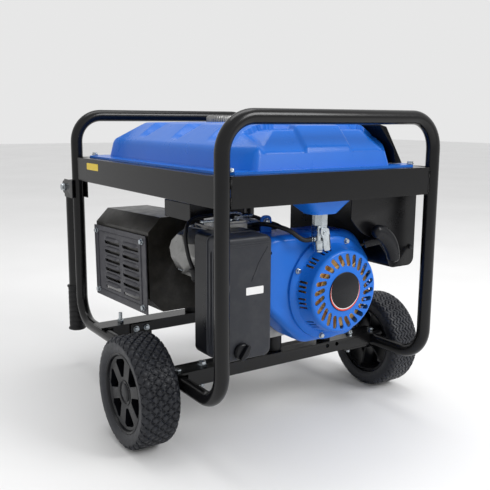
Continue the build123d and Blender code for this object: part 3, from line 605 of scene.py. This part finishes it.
def tyre(node, side, pattern, around):
    low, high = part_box(node)
    centre = (low + high) / 2
    outer = (high.z - low.z) / 2 / mm
    width = (high.x - low.x) / mm
    rim_low, rim_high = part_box(node.replace("tyre", "wheel_rim"))
    seat = (rim_high.z - rim_low.z) / 2 / mm
    half = width / 2
    across = []
    for i in range(5):
        across.append((seat + (outer - seat - 14) * i / 4, -half + 5 * (1 - i / 4) ** 2 + 0.3))
    shoulder, tread_depth = 13.0, 3.0
    for i in range(1, 15):
        turn = radians(90 * i / 14)
        across.append((outer - shoulder + shoulder * sin(turn), -half + shoulder - shoulder * cos(turn)))
    flat = 46
    for i in range(1, flat):
        across.append((outer, -half + shoulder + (width - 2 * shoulder) * i / flat))
    across += [(r, -a) for r, a in reversed(across[:19])]
    rows = []
    turns = 720
    for i in range(turns):
        turn = 2 * pi * i / turns
        row = []
        distance = -width / 2 - 10
        last = None
        for radius, along in across:
            if last:
                distance += hypot(radius - last[0], along - last[1])
            last = (radius, along)
            tread_part = step(radius, outer - 11, outer - 7)
            sunk = tread_depth * tread_part * (1 - pattern(turn, distance, around))
            r = (radius - sunk) * mm
            row.append(centre + Vector((side * along * mm, r * cos(turn), r * sin(turn))))
        rows.append(row)
    bm = grid_mesh(rows, close_rows=True)
    piece(f"{node}_casing", bm, tread, node, sharp=60)


def rim(node, side):
    """A moulded rim: lipped barrel, six broad spokes with windows between them, hub and domed cap."""
    low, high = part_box(node)
    lip = (high.z - low.z) / 2 / mm
    tyre_low, tyre_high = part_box(node.replace("wheel_rim", "tyre"))
    middle = (tyre_low.x + tyre_high.x) / 2
    centre = Vector((middle, (low.y + high.y) / 2, (low.z + high.z) / 2))

    def ring(profile):
        return lathe([(r, side * a) for r, a in profile], centre, "X", 96)

    def place(reach, turn, deep):
        return centre + Vector((side * deep * mm, reach * mm * cos(turn), reach * mm * sin(turn)))

    barrel = ring([(lip, 28), (lip + 0.8, 31.5), (lip - 1.5, 32.6), (lip - 4.5, 31.2), (lip - 6, 27),
                   (lip - 7, 20),
                   (lip - 8, 5), (lip - 8, -28), (lip - 5, -31), (lip, -29), (lip, 28)])
    face = ring([(0.01, 24), (17, 24), (23, 25.5), (26, 26), (lip - 12, 26), (lip - 9, 27.5),
                 (lip - 6.5, 27.5),
                 (lip - 6.5, 15), (0.01, 15)])
    windows = []
    for i in range(6):
        turn = radians(60 * i + 12)
        inner, outer, half_in, half_out = 28.0, lip - 12.5, 5.0, 19.5
        corners = [(inner, -half_in), (outer - 5, -half_out), (outer, -half_out + 6), (outer, half_out - 6),
                   (outer - 5, half_out), (inner, half_in)]
        outline = [(hypot(u, v), atan2(v, u)) for u, v in round_corners(corners, 3.5, 4)]
        windows.append(prism(outline, lambda u, v, d, turn=turn: place(u, turn + v, 10 + d), 22.0))
    plate = carve(face, windows)
    ribs = []
    for i in range(6):
        turn = radians(60 * i + 42)
        rows = []
        for reach in (20, 32, 46, lip - 8):
            rows.append([place(reach, turn - 2.2 / reach, -20), place(reach, turn - 1.6 / reach, 16),
                         place(reach, turn + 1.6 / reach, 16), place(reach, turn + 2.2 / reach, -20)])
        ribs.append(grid_mesh(rows, close_columns=True))
    hub = ring([(6.1, -37), (17, -37), (19, -34), (20, 14), (6.1, 14), (6.1, -37)])
    cap = ring([(0.01, 28), (8, 27.8), (13, 27.0), (15.5, 25.6), (16.2, 23.6), (0.01, 23.6)])
    groove = ring([(19.5, 24.6), (20.6, 26.6), (22.2, 26.8), (23.2, 25.3), (19.5, 24.6)])
    piece(f"{node}_moulding", merged(barrel, plate, hub, cap, groove, *ribs), black_plastic, node, sharp=32,
          bevel=0.6)


# Tank


def tank_relief(x, y, q):
    """Depths in mm of the left slope's grooves and the front face; q is 1 at the break and 2 at the crown."""
    climb = min(1.0, max(0.0, q - 1.0))
    groove = 0.0
    if x < -80:
        for centre in (147, 281, 421):
            half = 12 + 19 * climb
            offset = (y - centre - 3 * climb) / half
            rise = min(1.0, max(0.0, (offset + 0.35) / 1.25))
            groove += 15.0 * step(climb, 0.16, 0.62) * step(offset, -1.0, -0.45) * (1 - rise)
    front = 0.0
    if y < 90:
        side = 1 - band(x, -36, 58, 9)
        corner = step(x, -140, -122) * (1 - step(x, 150, 166))
        front = 8.5 * side * step(q, 0.80, 0.98) * corner
    return groove, front


def ring_outline(x0, x1, y0, y1, cut, soft=7):
    """A rectangle with cut corners, the same number of points whatever its size."""
    corners = [(x0 + cut, y0), (x1 - cut, y0), (x1, y0 + cut), (x1, y1 - cut), (x1 - cut, y1), (x0 + cut, y1),
               (x0, y1 - cut), (x0, y0 + cut)]
    counts = (110, 8, 150, 8, 110, 8, 150, 8)
    points = []
    for i in range(8):
        here = Vector(corners[i])
        before, after = Vector(corners[i - 1]), Vector(corners[(i + 1) % 8])
        start, end = here + (before - here).normalized() * soft, here + (after - here).normalized() * soft
        for k in range(6):
            t = k / 5
            points.append((1 - t) ** 2 * start + 2 * t * (1 - t) * here + t**2 * end)
        leave = end
        arrive = after + (here - after).normalized() * soft
        for k in range(1, counts[i]):
            points.append(leave.lerp(arrive, k / counts[i]))
    return points


def add_tank():
    rim_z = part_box("tank_lower")[1].z / mm + 2
    crown_z = 573.0
    break_z = 536.0
    foot = (ring_outline(-184.5, 184.5, 30, 578, 36), rim_z)
    edge = (ring_outline(-178.5, 178.5, 38, 572, 38), break_z)
    crown = (ring_outline(-117.5, 142.5, 72, 530, 30), crown_z)
    centre = (ring_outline(-30, 50, 180, 420, 10, 3), crown_z + 2.5)
    stages = (foot, edge, crown, centre)

    def flat_point(q, j):
        i = min(2, int(q))
        t = q - i
        (first, z0), (second, z1) = stages[i], stages[i + 1]
        p = first[j].lerp(second[j], t)
        return Vector((p.x, p.y, z0 + (z1 - z0) * t))

    def point(q, j):
        for bend, reach in ((1.0, 0.10), (2.0, 0.07)):
            if abs(q - bend) < reach:
                before = 0.28 if bend == 1.0 else reach
                a, b, c = flat_point(bend - before, j), flat_point(bend, j), flat_point(bend + reach, j)
                t = (q - bend + reach) / (2 * reach)
                return (1 - t) ** 2 * a + 2 * t * (1 - t) * b + t**2 * c
        if 0.72 < q < 0.9:
            return flat_point(0.72, j)
        return flat_point(q, j)

    levels = [0.0, 0.25, 0.5, 0.65, 0.72]
    levels += [0.9 + 0.2 * i / 8 for i in range(9)]
    levels += [1.1 + 0.83 * i / 34 for i in range(1, 34)]
    levels += [1.93 + 0.14 * i / 8 for i in range(9)]
    levels += [2.07 + 0.93 * i / 26 for i in range(1, 27)]
    rows = []
    count = len(foot[0])
    for q in levels:
        row = []
        for j in range(count):
            p = point(q, j)
            groove, front = tank_relief(p.x, p.y, min(q, 2.0))
            fade = 1 - step(q, 2.10, 2.34)
            p = p + (Vector((0.45, 0, -0.89)) * groove + Vector((0, 0, -1.0)) * front) * fade
            row.append(at(p.x, p.y, p.z))
        rows.append(row)
    dome = close_end(grid_mesh(rows, close_columns=True), count)
    cut, x, y0, y1 = 18, 216.5, 16, 596
    outline = [(-x + cut, y0), (x - cut, y0), (x, y0 + cut), (x, y1 - cut), (x - cut, y1), (-x + cut, y1),
               (-x, y1 - cut), (-x, y0 + cut)]
    plate = prism(round_corners(outline, 6), in_plan(rim_z - 2), 2.0)
    neck_low, neck_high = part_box("fuel_cap")
    middle = (neck_low + neck_high) / 2
    z0, z1 = neck_low.z / mm, neck_high.z / mm
    neck = lathe([(24, 570), (24, z0 + 6), (22.4, z1 - 9), (20.5, z1 - 9), (20.5, 570), (24, 570)],
                 (middle.x, middle.y, 0), "Z")
    piece("tank_shell", merged(dome, plate, neck), blue, "tank_upper", sharp=50)
    soften("tank_lower", blue, 3.0, 4, 25)


def add_fuel_cap():
    low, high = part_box("fuel_cap")
    middle, top = (low + high) / 2, high.z / mm
    profile = [(0.01, top - 3.4), (15, top - 3.2), (17.5, top - 2.2), (18.4, top), (24, top),
               (26.5, top - 0.8),
               (28, top - 2.8), (28.6, top - 5), (28.8, top - 17.5), (28, top - 18.6), (26.5, top - 18.6),
               (26.5, top - 8), (0.01, top - 8)]

    def ribs(turn, radius, along):
        if radius > 27 * mm and along < (top - 2) * mm:
            return radius - 1.1 * mm * (0.5 + 0.5 * cos(turn * 36)) ** 3
        return radius

    bm = lathe(profile, (middle.x, middle.y, 0), "Z", 288, ribs)
    piece("fuel_cap_shell", bm, alloy, "fuel_cap")


# Fuel cock


def add_fuel_cock():
    hexagon = []
    for i in range(6):
        a = radians(60 * i + 8)
        hexagon.append((13.9 * cos(a), 45 + 13.9 * sin(a)))
    nut = prism(hexagon, in_plan(398), 21.0)
    stem = lathe([(10, 396), (7.5, 396), (7.5, 402), (12.5, 417.5), (12.5, 418.8), (10, 418.8)],
                 at(0, 45, 0), "Z", 48)
    body = prism(rounded(-11, 11, 35, 57, 4), in_plan(371), 27.0)
    boss = lathe([(0.01, -11.4), (8.2, -11.4), (9.2, -10.4), (9.2, -6), (0.01, -6)], at(0, 45, 385), "Y", 40)
    cup = lathe([(0.01, 349), (7, 349), (7.6, 350), (7.8, 353), (10.4, 354), (11.4, 356), (11.8, 362),
                 (12.4, 364), (12.4, 370), (11.6, 372), (0.01, 372)], at(0, 45, 0), "Z", 48)
    spigot = lathe([(0.01, -24), (2.6, -24), (3.6, -21), (2.9, -20), (2.9, -14), (4.6, -12), (4.6, -9),
                    (0.01, -9)], at(0, 45, 374), "X", 32)
    piece("fuel_cock_valve", merged(nut, stem, body, boss, cup, spigot), zinc, "fuel_cock", sharp=32,
          bevel=0.8, segments=3)
    lever_y = behind(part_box("cock_lever")[0].y)
    arm = round_corners([(-9, 394), (9, 394), (12, 380), (15, 358), (12, 353), (1, 353), (-1, 358), (-3, 376),
                         (-9, 386)],
                        [6, 6, 4, 3, 2, 2, 3, 5, 5], 4)
    plate = prism(arm, facing_front(lever_y), 2.2)
    edge = [(12.6, 356), (14.8, 356), (12, 382), (9.8, 382)]
    fold = prism(round_corners(edge, 0.6, 3), facing_front(lever_y), 8.0)
    pin = lathe([(0.01, -2.2), (2.6, -2.2), (3.6, -1.2), (3.8, 0.2), (3.8, 9), (0.01, 9)],
                at(0, lever_y, 385), "Y", 32)
    piece("cock_lever_plate", merged(plate, fold, pin), zinc, "cock_lever", sharp=32, bevel=0.5, segments=2)
    route = [at(-12.5, 45, 374), at(-24, 45, 373), at(-40, 45, 376), at(-60, 59, 392), at(-77, 89, 398.5),
             at(-80, 119, 396), at(-84, 137, 392), at(-103.5, 139, 391)]
    hose = tube_along(smooth_path(route, 14), 4.2 * mm, 20)
    piece("fuel_hose_run", hose, rubber, "fuel_hose")
    clips = []
    for place in (at(-17, 45, 373.4), at(-99, 139, 391)):
        for shift in (-2.2, 2.2):
            ring = [place + Vector((shift * mm, 5.0 * mm * cos(2 * pi * i / 24),
                                    5.0 * mm * sin(2 * pi * i / 24)))
                    for i in range(25)]
            clips.append(tube_along(ring, 0.7 * mm, 8))
    piece("hose_clips", merged(*clips), zinc)
    lead_points = [at(-206, 139, 325), at(-214.5, 140, 351), at(-212.5, 152, 384), at(-192, 168, 405),
                   at(-152, 167, 411), at(-112, 158, 412), at(-80, 149, 408), at(-60, 137, 399),
                   at(-57, 133, 381.5)]
    lead = tube_along(smooth_path(lead_points, 12), 3.5 * mm, 18)
    piece("ignition_lead_run", lead, rubber, "ignition_lead")


# Engine


def housing_outline(inset=0.0):
    left, right, top, low = -102.5 + inset, 152.5 - inset, 379 - inset, 171 + inset
    points = [(left, top), (right - 46, top), (right, top - 62), (right, low + 62), (right - 40, low),
              (left + 92, low), (left, low + 82)]
    return round_corners(points, [26, 55, 40, 40, 40, 45, 40], 10)


def add_blower():
    """The blue cowl: a soft-edged pressing with a swell round the starter and an ear at the top."""
    low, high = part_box("blower_housing")
    back, face = behind(high.y), behind(low.y)
    centre = (crank.x / mm, crank.z / mm)
    outline = housing_outline()
    middle = (25.0, 275.0)
    rows = []
    levels = [(0.0, back), (0.0, face + 34), (0.0, face + 20)]
    levels += [(15 * (1 - cos(radians(a))), face + 17 - 17 * sin(radians(a))) for a in range(9, 91, 9)]
    levels += [(24, face)]
    for inset, y in levels:
        ring = []
        for u, v in outline:
            way = Vector((u - middle[0], v - middle[1])).normalized()
            p = Vector((u, v)) - way * inset
            ring.append(at(p.x, y, p.y))
        rows.append(ring)
    swell = []
    for radius, y in ((99, face), (98, face - 0.6), (96, face - 0.6), (84, face - 0.4), (84, face + 4)):
        ring = []
        for u, v in outline:
            turn = atan2(v - centre[1], u - centre[0])
            room = hypot(u - centre[0], v - centre[1]) - 27
            reach = min(radius, max(84.2, room))
            ring.append(at(centre[0] + reach * cos(turn), y, centre[1] + reach * sin(turn)))
        swell.append(ring)
    shell = grid_mesh(rows + swell, close_columns=True)
    flare = lathe([(101, 4), (99, 1.5), (97.5, -1.5), (96, -0.5), (96, 5)],
                  (crank.x, front_y + face * mm, crank.z), "Y", 120)
    ear = prism(round_corners([(-72, 372), (-48, 372), (-48, 410), (-72, 410)], [1, 1, 11, 11]),
                facing_front(back - 16), 3.0)
    piece("blower_cowl", merged(shell, flare, ear), blue, "blower_housing", sharp=40)
    bolts = [hexagon_bolt(at(-60, back - 16, 398), (0, -1, 0), 10, 6)]
    for u, v in ((-90, 352), (112, 352), (134, 240)):
        bolts.append(hexagon_bolt(at(u, face + 6 if u < 0 else face + 12, v), (0, -1, 0), 8, 6))
    piece("cowl_screws", merged(*bolts), zinc, bevel=0.3)


def spoke(turn):
    """Directions outwards at a clock angle round the crank, and square to that."""
    return Vector((sin(turn), 0, cos(turn))), Vector((cos(turn), 0, -sin(turn)))


def recoil_slots(face, reach, length, width):
    cutters = []
    for i in range(24):
        turn = radians(15 * i + 6)
        cx, cz = crank.x / mm + reach * sin(turn), crank.z / mm + reach * cos(turn)
        outline = slot_outline(cx, cz, length, width, pi / 2 - turn + radians(22))
        cutters.append(prism(outline, facing_front(face - 6), 14.0))
    return cutters


def add_recoil():
    low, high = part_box("recoil_cover")
    face, base = behind(low.y), behind(high.y)
    profile = [(0.01, face), (38, face), (39.5, face + 0.5), (68, face + 0.3)]
    profile += [(70 + 7 * sin(radians(a)), face + 7 - 7 * cos(radians(a))) for a in range(10, 91, 16)]
    profile += [(78.5, face + 16), (83, base - 11), (85, base - 8.5), (94, base - 7.5), (97, base - 5),
                (97.5, base), (84, base), (82, base - 5), (76, face + 12), (72, face + 3), (60, face + 2.2),
                (0.01, face + 2.2)]
    bm = lathe(profile, (crank.x, front_y, crank.z), "Y", 144)
    cutters = recoil_slots(face, 58.5, 25, 8.8)
    for group in (222, 258, 280, 314, 338, 62, 90, 118):
        for shift in (-6, 0, 6):
            turn = radians(group + shift)
            out, across = spoke(turn)
            origin = Vector((crank.x, front_y + (face + 24) * mm, crank.z)) + out * 82 * mm
            outline = round_corners([(-9, -2.1), (9, -2.1), (9, 2.1), (-9, 2.1)], 1.2, 3)

            def place(u, v, d, origin=origin, out=out, across=across):
                return origin + Vector((0, u * mm, 0)) + across * v * mm + out * (d - 10) * mm

            cutters.append(prism(outline, place, 20.0))
    piece("recoil_shell", carve(bm, cutters), blue, "recoil_cover", sharp=38, bevel=0.45)
    bolts = []
    for turn in (297, 195, 20, 118):
        a = radians(turn)
        place = crank + Vector((sin(a), 0, cos(a))) * 91 * mm
        place.y = front_y + (base - 7) * mm
        bolts.append(hexagon_bolt(place, (0, -1, 0), 8, 6))
    piece("recoil_screws", merged(*bolts), zinc, bevel=0.3)


def add_badge():
    """A blank round badge: black face, with a red crescent and a white hairline low down."""
    y = behind(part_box("recoil_badge")[0].y)
    radius = 36.5
    disc = lathe([(0.01, y), (radius - 1.2, y), (radius, y + 0.6), (radius, y + 1.5), (0.01, y + 1.5)],
                 (crank.x, front_y, crank.z), "Y", 96)
    piece("badge_disc", disc, black_plastic, "recoil_badge")

    def crescent(name, outer, inner, material, lift):
        rows = [[], []]
        for i in range(61):
            a = radians(150 + 240 * i / 60)
            thin = max(0.02, sin(pi * i / 60))
            inner_r = outer - (outer - inner) * thin
            for row, r in zip(rows, (outer, inner_r)):
                row.append(at(crank.x / mm + r * cos(a), y - lift, crank.z / mm + r * sin(a)))
        bm = grid_mesh(rows)
        piece(name, bm, material)

    crescent("badge_ring_white", radius - 1.4, radius - 5.6, white, 0.12)
    crescent("badge_ring_red", radius - 1.4, radius - 4.2, red, 0.2)


def add_fan():
    """Tan fan blades and the rope reel behind the starter's slots."""
    soften("flywheel", tan, 0.5)
    soften("recoil_reel", tan, 0.5)
    y = behind(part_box("recoil_reel")[0].y)
    blades = []
    for i in range(12):
        turn = radians(30 * i)
        out, across = spoke(turn)
        origin = Vector((crank.x, front_y + (y + 1) * mm, crank.z))
        rows = []
        for reach, lean in ((46, 0), (56, 3), (66, 7.5), (72, 11)):
            base = origin + out * reach * mm + across * lean * mm
            deep, thick = Vector((0, 12 * mm, 0)), across * 2.2 * mm
            rows.append([base, base + deep, base + deep + thick, base + thick])
        blades.append(grid_mesh(rows, close_columns=True))
    ring = lathe([(38, y + 10), (73, y + 10), (73, y + 13), (38, y + 13), (38, y + 10)],
                 (crank.x, front_y, crank.z), "Y", 96)
    piece("starter_fan", merged(ring, *blades), tan)


def add_pull_handle():
    """The black T handle, a tapered neck and a broad swept grip, and the rope that follows it out."""
    deep = behind(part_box("pull_handle")[0].y) + 13.5
    start, end = at(109.5, 45, 353.5), at(140, deep + 2, 364)
    neck = tube_along(smooth_path([start, start.lerp(end, 0.3), start.lerp(end, 0.7), end], 8),
                      [8.0 * mm + 2.4 * mm * (i / 24) ** 1.5 for i in range(25)], 28)
    spine = [(110, 381), (119, 379.5), (129, 376), (139, 370), (149, 361), (157, 350), (162.5, 338),
             (165.5, 325),
             (166, 316)]
    path = smooth_path([at(x, deep, z) for x, z in spine], 8)
    count = len(path)
    rows = []
    for i, here in enumerate(path):
        t = i / (count - 1)
        ease = min(1.0, (1 - abs(2 * t - 1)) * 4.0)
        round_off = (1 - (1 - ease) ** 2) ** 0.5
        wide = (10.5 + 5.0 * sin(pi * t)) * round_off + 0.3
        thick = (10.5 + 1.5 * sin(pi * t)) * round_off + 0.3
        way = (path[min(i + 1, count - 1)] - path[max(i - 1, 0)]).normalized()
        side = way.cross(Vector((0, 1, 0))).normalized()
        rows.append([here + side * wide * mm * cos(a) + Vector((0, thick * mm * sin(a), 0))
                     for a in (2 * pi * k / 32 for k in range(32))])
    grip = close_end(grid_mesh(rows, close_columns=True), 32, both=True)
    piece("pull_handle_grip", merged(neck, grip), black_plastic, "pull_handle", sharp=70)
    way = (end - start).normalized()
    inner, outer = start - way * 8 * mm, start + way * 10 * mm
    rope = tube_along([inner.lerp(outer, i / 60) for i in range(61)], 2.4 * mm, 14)
    obj = add_object("starter_rope", mesh_of(rope))
    obj.data.materials.append(rubber)
    obj.data.shade_smooth()
    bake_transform(obj)


def add_engine():
    for node, material, bevel, segments in (
            ("crankcase", alloy, 1.2, 3), ("crankshaft", steel, 0.6, 2), ("piston", steel, 0.6, 2),
            ("cylinder_head", alloy, 0.8, 2), ("spark_plug", rubber, 0.8, 3),
            ("head_shield", satin_black, 2.0, 3),
            ("carburettor", alloy, 1.4, 3), ("choke_lever", zinc, 0.5, 2),
            ("alternator_housing", alloy, 1.2, 3),
            ("alternator_end_cover", satin_black, 1.0, 3), ("rotor", steel, 0.6, 2)):
        soften(node, material, bevel, segments)
    add_valve_cover()
    add_carburettor_details()


def on_cylinder(along, across, y):
    """A point in the slanted cylinder's directions, in mm from the crank."""
    c, s = cos(cylinder_slant), sin(cylinder_slant)
    return Vector((crank.x + (-along * c + across * s) * mm, front_y + y * mm,
                   crank.z + (along * s + across * c) * mm))


def add_valve_cover():
    """The bright cast rocker cover: an eight-sided dome on a lobed flange with four bolts."""
    def face(side_y, side_z, cut):
        y, z = side_y / 2, side_z / 2
        return [(y - cut, z), (y, z - cut), (y, -z + cut), (y - cut, -z), (-y + cut, -z), (-y, -z + cut),
                (-y, z - cut), (-y + cut, z)]

    middle_y = 206
    rows = []
    for along, side_y, side_z, cut in ((214, 88, 84, 16), (222, 88, 84, 18), (240, 84, 80, 26),
                                       (242.5, 80, 76, 26),
                                       (260, 50, 46, 16), (262, 44, 40, 14)):
        rows.append([on_cylinder(along, v, middle_y + u) for u, v in face(side_y, side_z, cut)])
    dome = close_end(grid_mesh(rows, close_columns=True), 8)
    lobes = []
    for turn in range(0, 360, 4):
        a = radians(turn)
        lobe = abs(cos(2 * (a - radians(45))))
        radius = 45 + 15 * step(lobe, 0.80, 1.0)
        lobes.append((middle_y + radius * cos(a), radius * sin(a)))
    flange = prism(lobes, lambda u, v, d: on_cylinder(207 + d, v, u), 7.0)
    piece("valve_cover_casting", merged(dome, flange), alloy, "valve_cover", sharp=25, bevel=1.3, segments=3)
    outwards = Vector((-cos(cylinder_slant), 0, sin(cylinder_slant)))
    bolts = []
    for across in (-39, 39):
        for y in (middle_y - 39, middle_y + 39):
            bolts.append(hexagon_bolt(on_cylinder(214, across, y), outwards, 9, 7))
    piece("valve_cover_bolts", merged(*bolts), zinc, bevel=0.3)


def add_carburettor_details():
    """Springs, screws and link rods above the carburettor."""
    spring = [at(-112 + 26 * i / 160, 130 + 2.6 * cos(i * 0.6), 411 + 2.6 * sin(i * 0.6)) for i in range(161)]
    rod_a = smooth_path([at(-149, 128, 404), at(-149, 128, 416), at(-120, 134, 417), at(-84, 146, 404)], 8)
    rod_b = smooth_path([at(-146, 146, 406), at(-130, 150, 415), at(-100, 152, 414), at(-78, 148, 396)], 8)
    parts = [tube_along(spring, 0.55 * mm, 6), tube_along(rod_a, 1.3 * mm, 10),
             tube_along(rod_b, 1.2 * mm, 10)]
    for x, y in ((-141, 127), (-113, 142)):
        parts.append(hexagon_bolt(at(x, y, 404), (0, 0, 1), 7, 5))
    piece("governor_links", merged(*parts), zinc)


# Air filter


def add_air_filter():
    low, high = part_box("air_filter_cover")
    x0, x1, z0, z1 = (value / mm for value in (low.x, high.x, low.z, high.z))
    y0, y1 = behind(low.y), behind(high.y)

    def ring(inset, y, radius):
        return [at(u, y, v) for u, v in rounded(x0 + inset, x1 - inset, z0 + inset, z1 - inset, radius, 8)]

    rows = [ring(0.0, y1, 14), ring(0.0, y1 - 3.0, 14), ring(1.6, y1 - 3.6, 13), ring(1.6, y0 + 9, 13)]
    for a in range(0, 91, 15):
        ease = 1 - cos(radians(a))
        rows.append(ring(1.6 + 7 * ease, y0 + 7 - 7 * sin(radians(a)), 13 - 6 * ease))
    shell = close_end(grid_mesh(rows, close_columns=True), len(rows[0]))
    lip = []
    for i in range(3):
        z = z1 - 9.5 - 4.2 * i
        lip.append(box_bm(at(x0 + 8, y0 - (1.1 if i == 1 else 0.5), z - 1.1), at(x1 - 8, y0 + 2, z + 1.1)))
    piece("air_cover_shell", merged(shell, *lip), grey_plastic, "air_filter_cover", sharp=45, bevel=0.4)
    crease = tube_along([at(x1 - 44, y0 - 0.1, z1 - 78), at(x1 - 30, y0 - 0.1, z1 - 48),
                         at(x1 - 12, y0 - 0.1, z1 - 22)],
                        0.8 * mm, 10)
    piece("air_cover_crease", crease, grey_plastic)
    ribs = []
    for i in range(3):
        y = y0 + 14 + 9.5 * i
        ribs.append(prism(round_corners([(z0 + 24, 0), (z1 - 24, 0), (z1 - 30, 1), (z0 + 30, 1)], 0.2, 2),
                          lambda u, v, d, y=y: at(x0 + 1.8 - 1.9 * v, y + 4.0 * d, u), 1.0))
    piece("air_cover_ribs", merged(*ribs), grey_plastic, bevel=0.5)
    label = prism(rounded(x1 - 55, x1 - 20, z1 - 101, z1 - 88, 1.2, 3), facing_front(y0 - 0.25), 0.3)
    piece("blank_label", label, white)
    soften("air_filter_base", black_plastic, 1.0, 3)
    soften("filter_element", foam, 2.0, 3)
    knob_y = behind(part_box("filter_knob")[0].y)
    cx, cz = -172.0, 198.0
    disc = lathe([(0.01, y0 - 8), (11.5, y0 - 8), (13.8, y0 - 6.8), (14.8, y0 - 4.4), (15, y0 - 0.5),
                  (3, y0 - 0.5), (3, y1 - 4), (0.01, y1 - 4)], at(cx, 0, cz), "Y", 72)
    bar = prism(slot_outline(cx, cz, 28.6, 7.2, radians(55)), facing_front(knob_y), y0 - 7 - knob_y)
    piece("filter_knob_moulding", merged(disc, bar), black_plastic, "filter_knob", sharp=40, bevel=0.9,
          segments=3)


# Muffler


lean_turn = radians(-2)
lean_y, lean_z = 435.5, 294.0


def leaned(x, y, z):
    """A point on the muffler, tipped with it."""
    dy, dz = y - lean_y, z - lean_z
    c, s = cos(lean_turn), sin(lean_turn)
    return at(x, lean_y + dy * c - dz * s, lean_z + dy * s + dz * c)


def add_muffler():
    soften("muffler", hot_steel, 2.6, 4, 20)
    x, y0, y1, low, high = -214.0, 306.0, 565.0, 197.5, 353.5
    outline = rounded(y0, y1, low, high, 2.0, 3)
    plate = prism(outline, lambda u, v, d: leaned(x - 1.2 + d, u, v), 2.4)
    cutters = []
    hoods = []
    for column in (0, 1):
        for row in range(6):
            y = y0 + 72 + 92 * column
            z = low + 28 + 19.5 * row
            slot = slot_outline(y, z - 1.0, 78, 9.5, 0, 6)
            cutters.append(prism(slot, lambda u, v, d: leaned(x - 6 + d, u, v), 12.0))
            rows = []
            for i in range(9):
                t = i / 8
                fall = 1 - (2 * t - 1) ** 8
                ring = []
                for k in range(7):
                    a = radians(90 * k / 6)
                    ring.append(leaned(x - 1.0 - 5.0 * fall * sin(a), y - 40 + 80 * t,
                                       z + 4.6 + 5.5 * fall * cos(a) - 2.0 * fall * sin(a)))
                rows.append(ring)
            hoods.append(grid_mesh(rows))
    path = [leaned(x - 1.4, u, v) for u, v in rounded(y0 + 22, y1 - 22, low + 14, high - 12, 8, 5)]
    path.append(path[0])
    border = tube_along(path, 1.5 * mm, 8, closed_ends=False)
    piece("guard_plate", merged(carve(plate, cutters), *hoods, border), charcoal, "muffler_guard", sharp=45,
          bevel=0.5)
    screws = []
    for y in (y0 + 16, y1 - 16):
        for z in (low + 12, high - 12):
            screws.append(hexagon_bolt(leaned(x - 1.2, y, z), (-1, 0, 0), 9, 6))
    piece("guard_screws", merged(*screws), zinc, bevel=0.3)


# Panel side


def add_panel():
    for node, material, bevel, segments in (
            ("control_box", satin_black, 1.4, 3), ("control_panel", black_plastic, 0.8, 2),
            ("outlets", black_plastic, 0.6, 2), ("engine_switch", red, 0.8, 3),
            ("breaker_button", red, 0.6, 3),
            ("panel_hood", satin_black, 2.0, 3)):
        soften(node, material, bevel, segments)


def add_handles():
    for side in ("left", "right"):
        soften(f"handle_{side}", black, 1.0, 3)
        node = f"grip_{side}"
        low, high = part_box(node)
        middle = (low + high) / 2
        z0, z1 = low.z / mm, high.z / mm
        profile = [(0.01, z0), (17, z0), (19.4, z0 + 1.0), (20, z0 + 2.4), (19.4, z0 + 4), (17.6, z0 + 5)]
        count = 8
        for i in range(count):
            z = z0 + 9 + (z1 - z0 - 22) * i / (count - 1)
            profile += [(17.6, z - 1.4), (16.6, z), (17.6, z + 1.4)]
        profile += [(17.6, z1 - 5), (19.4, z1 - 4), (20, z1 - 2.2), (19.2, z1 - 0.6), (17, z1), (15.1, z1),
                    (15.1, z0 + 4),
                    (0.01, z0 + 4)]
        bm = lathe(profile, (middle.x, middle.y, 0), "Z")
        piece(f"{node}_sleeve", bm, rubber, node, sharp=50)


# Floor and light


def area_light(name, place, target, size, power):
    data = bpy.data.lights.new(name, "AREA")
    data.shape = "RECTANGLE"
    data.size, data.size_y = size
    data.energy = power
    lamp = add_object(name, data)
    place, target = Vector(place), Vector(target)
    lamp.matrix_world = Matrix.Translation(place) @ (target - place).to_track_quat("-Z",
                                                                                   "Y").to_matrix().to_4x4()


def add_stage():
    made = Nodes("floor")
    tone = made.blend(made.spread(made.noise(1.5, 3.0), 0.0, 1.0), (0.80, 0.80, 0.80), (0.84, 0.84, 0.84))
    made.link(tone, made.shader.inputs["Base Color"])
    made.shader.inputs["Roughness"].default_value = 0.75
    bm = bmesh.new()
    bmesh.ops.create_grid(bm, x_segments=8, y_segments=8, size=14)
    mesh = mesh_of(bm)
    floor_obj = add_object("floor", mesh)
    mesh.materials.append(made.material)
    world = bpy.data.worlds.new("studio")
    bpy.context.scene.world = world
    world.use_nodes = True
    background = world.node_tree.nodes["Background"]
    background.inputs["Color"].default_value = (1, 1, 1, 1)
    background.inputs["Strength"].default_value = 0.80
    bpy.context.scene.view_settings.view_transform = "Standard"
    middle = (0, 0, 0.3)
    area_light("key", (1.3, -2.3, 2.0), middle, (1.2, 1.2), 50)
    area_light("top", (0.1, 0.2, 2.6), middle, (1.8, 1.2), 22)


add_camera()
add_frame()
tyre("tyre_left", -1, knobs, 34)
tyre("tyre_right", 1, waves, 40)
rim("wheel_rim_left", -1)
rim("wheel_rim_right", 1)
add_tank()
add_fuel_cap()
add_fuel_cock()
add_blower()
add_recoil()
add_badge()
add_fan()
add_pull_handle()
add_engine()
add_air_filter()
add_muffler()
add_panel()
add_handles()
add_stage()
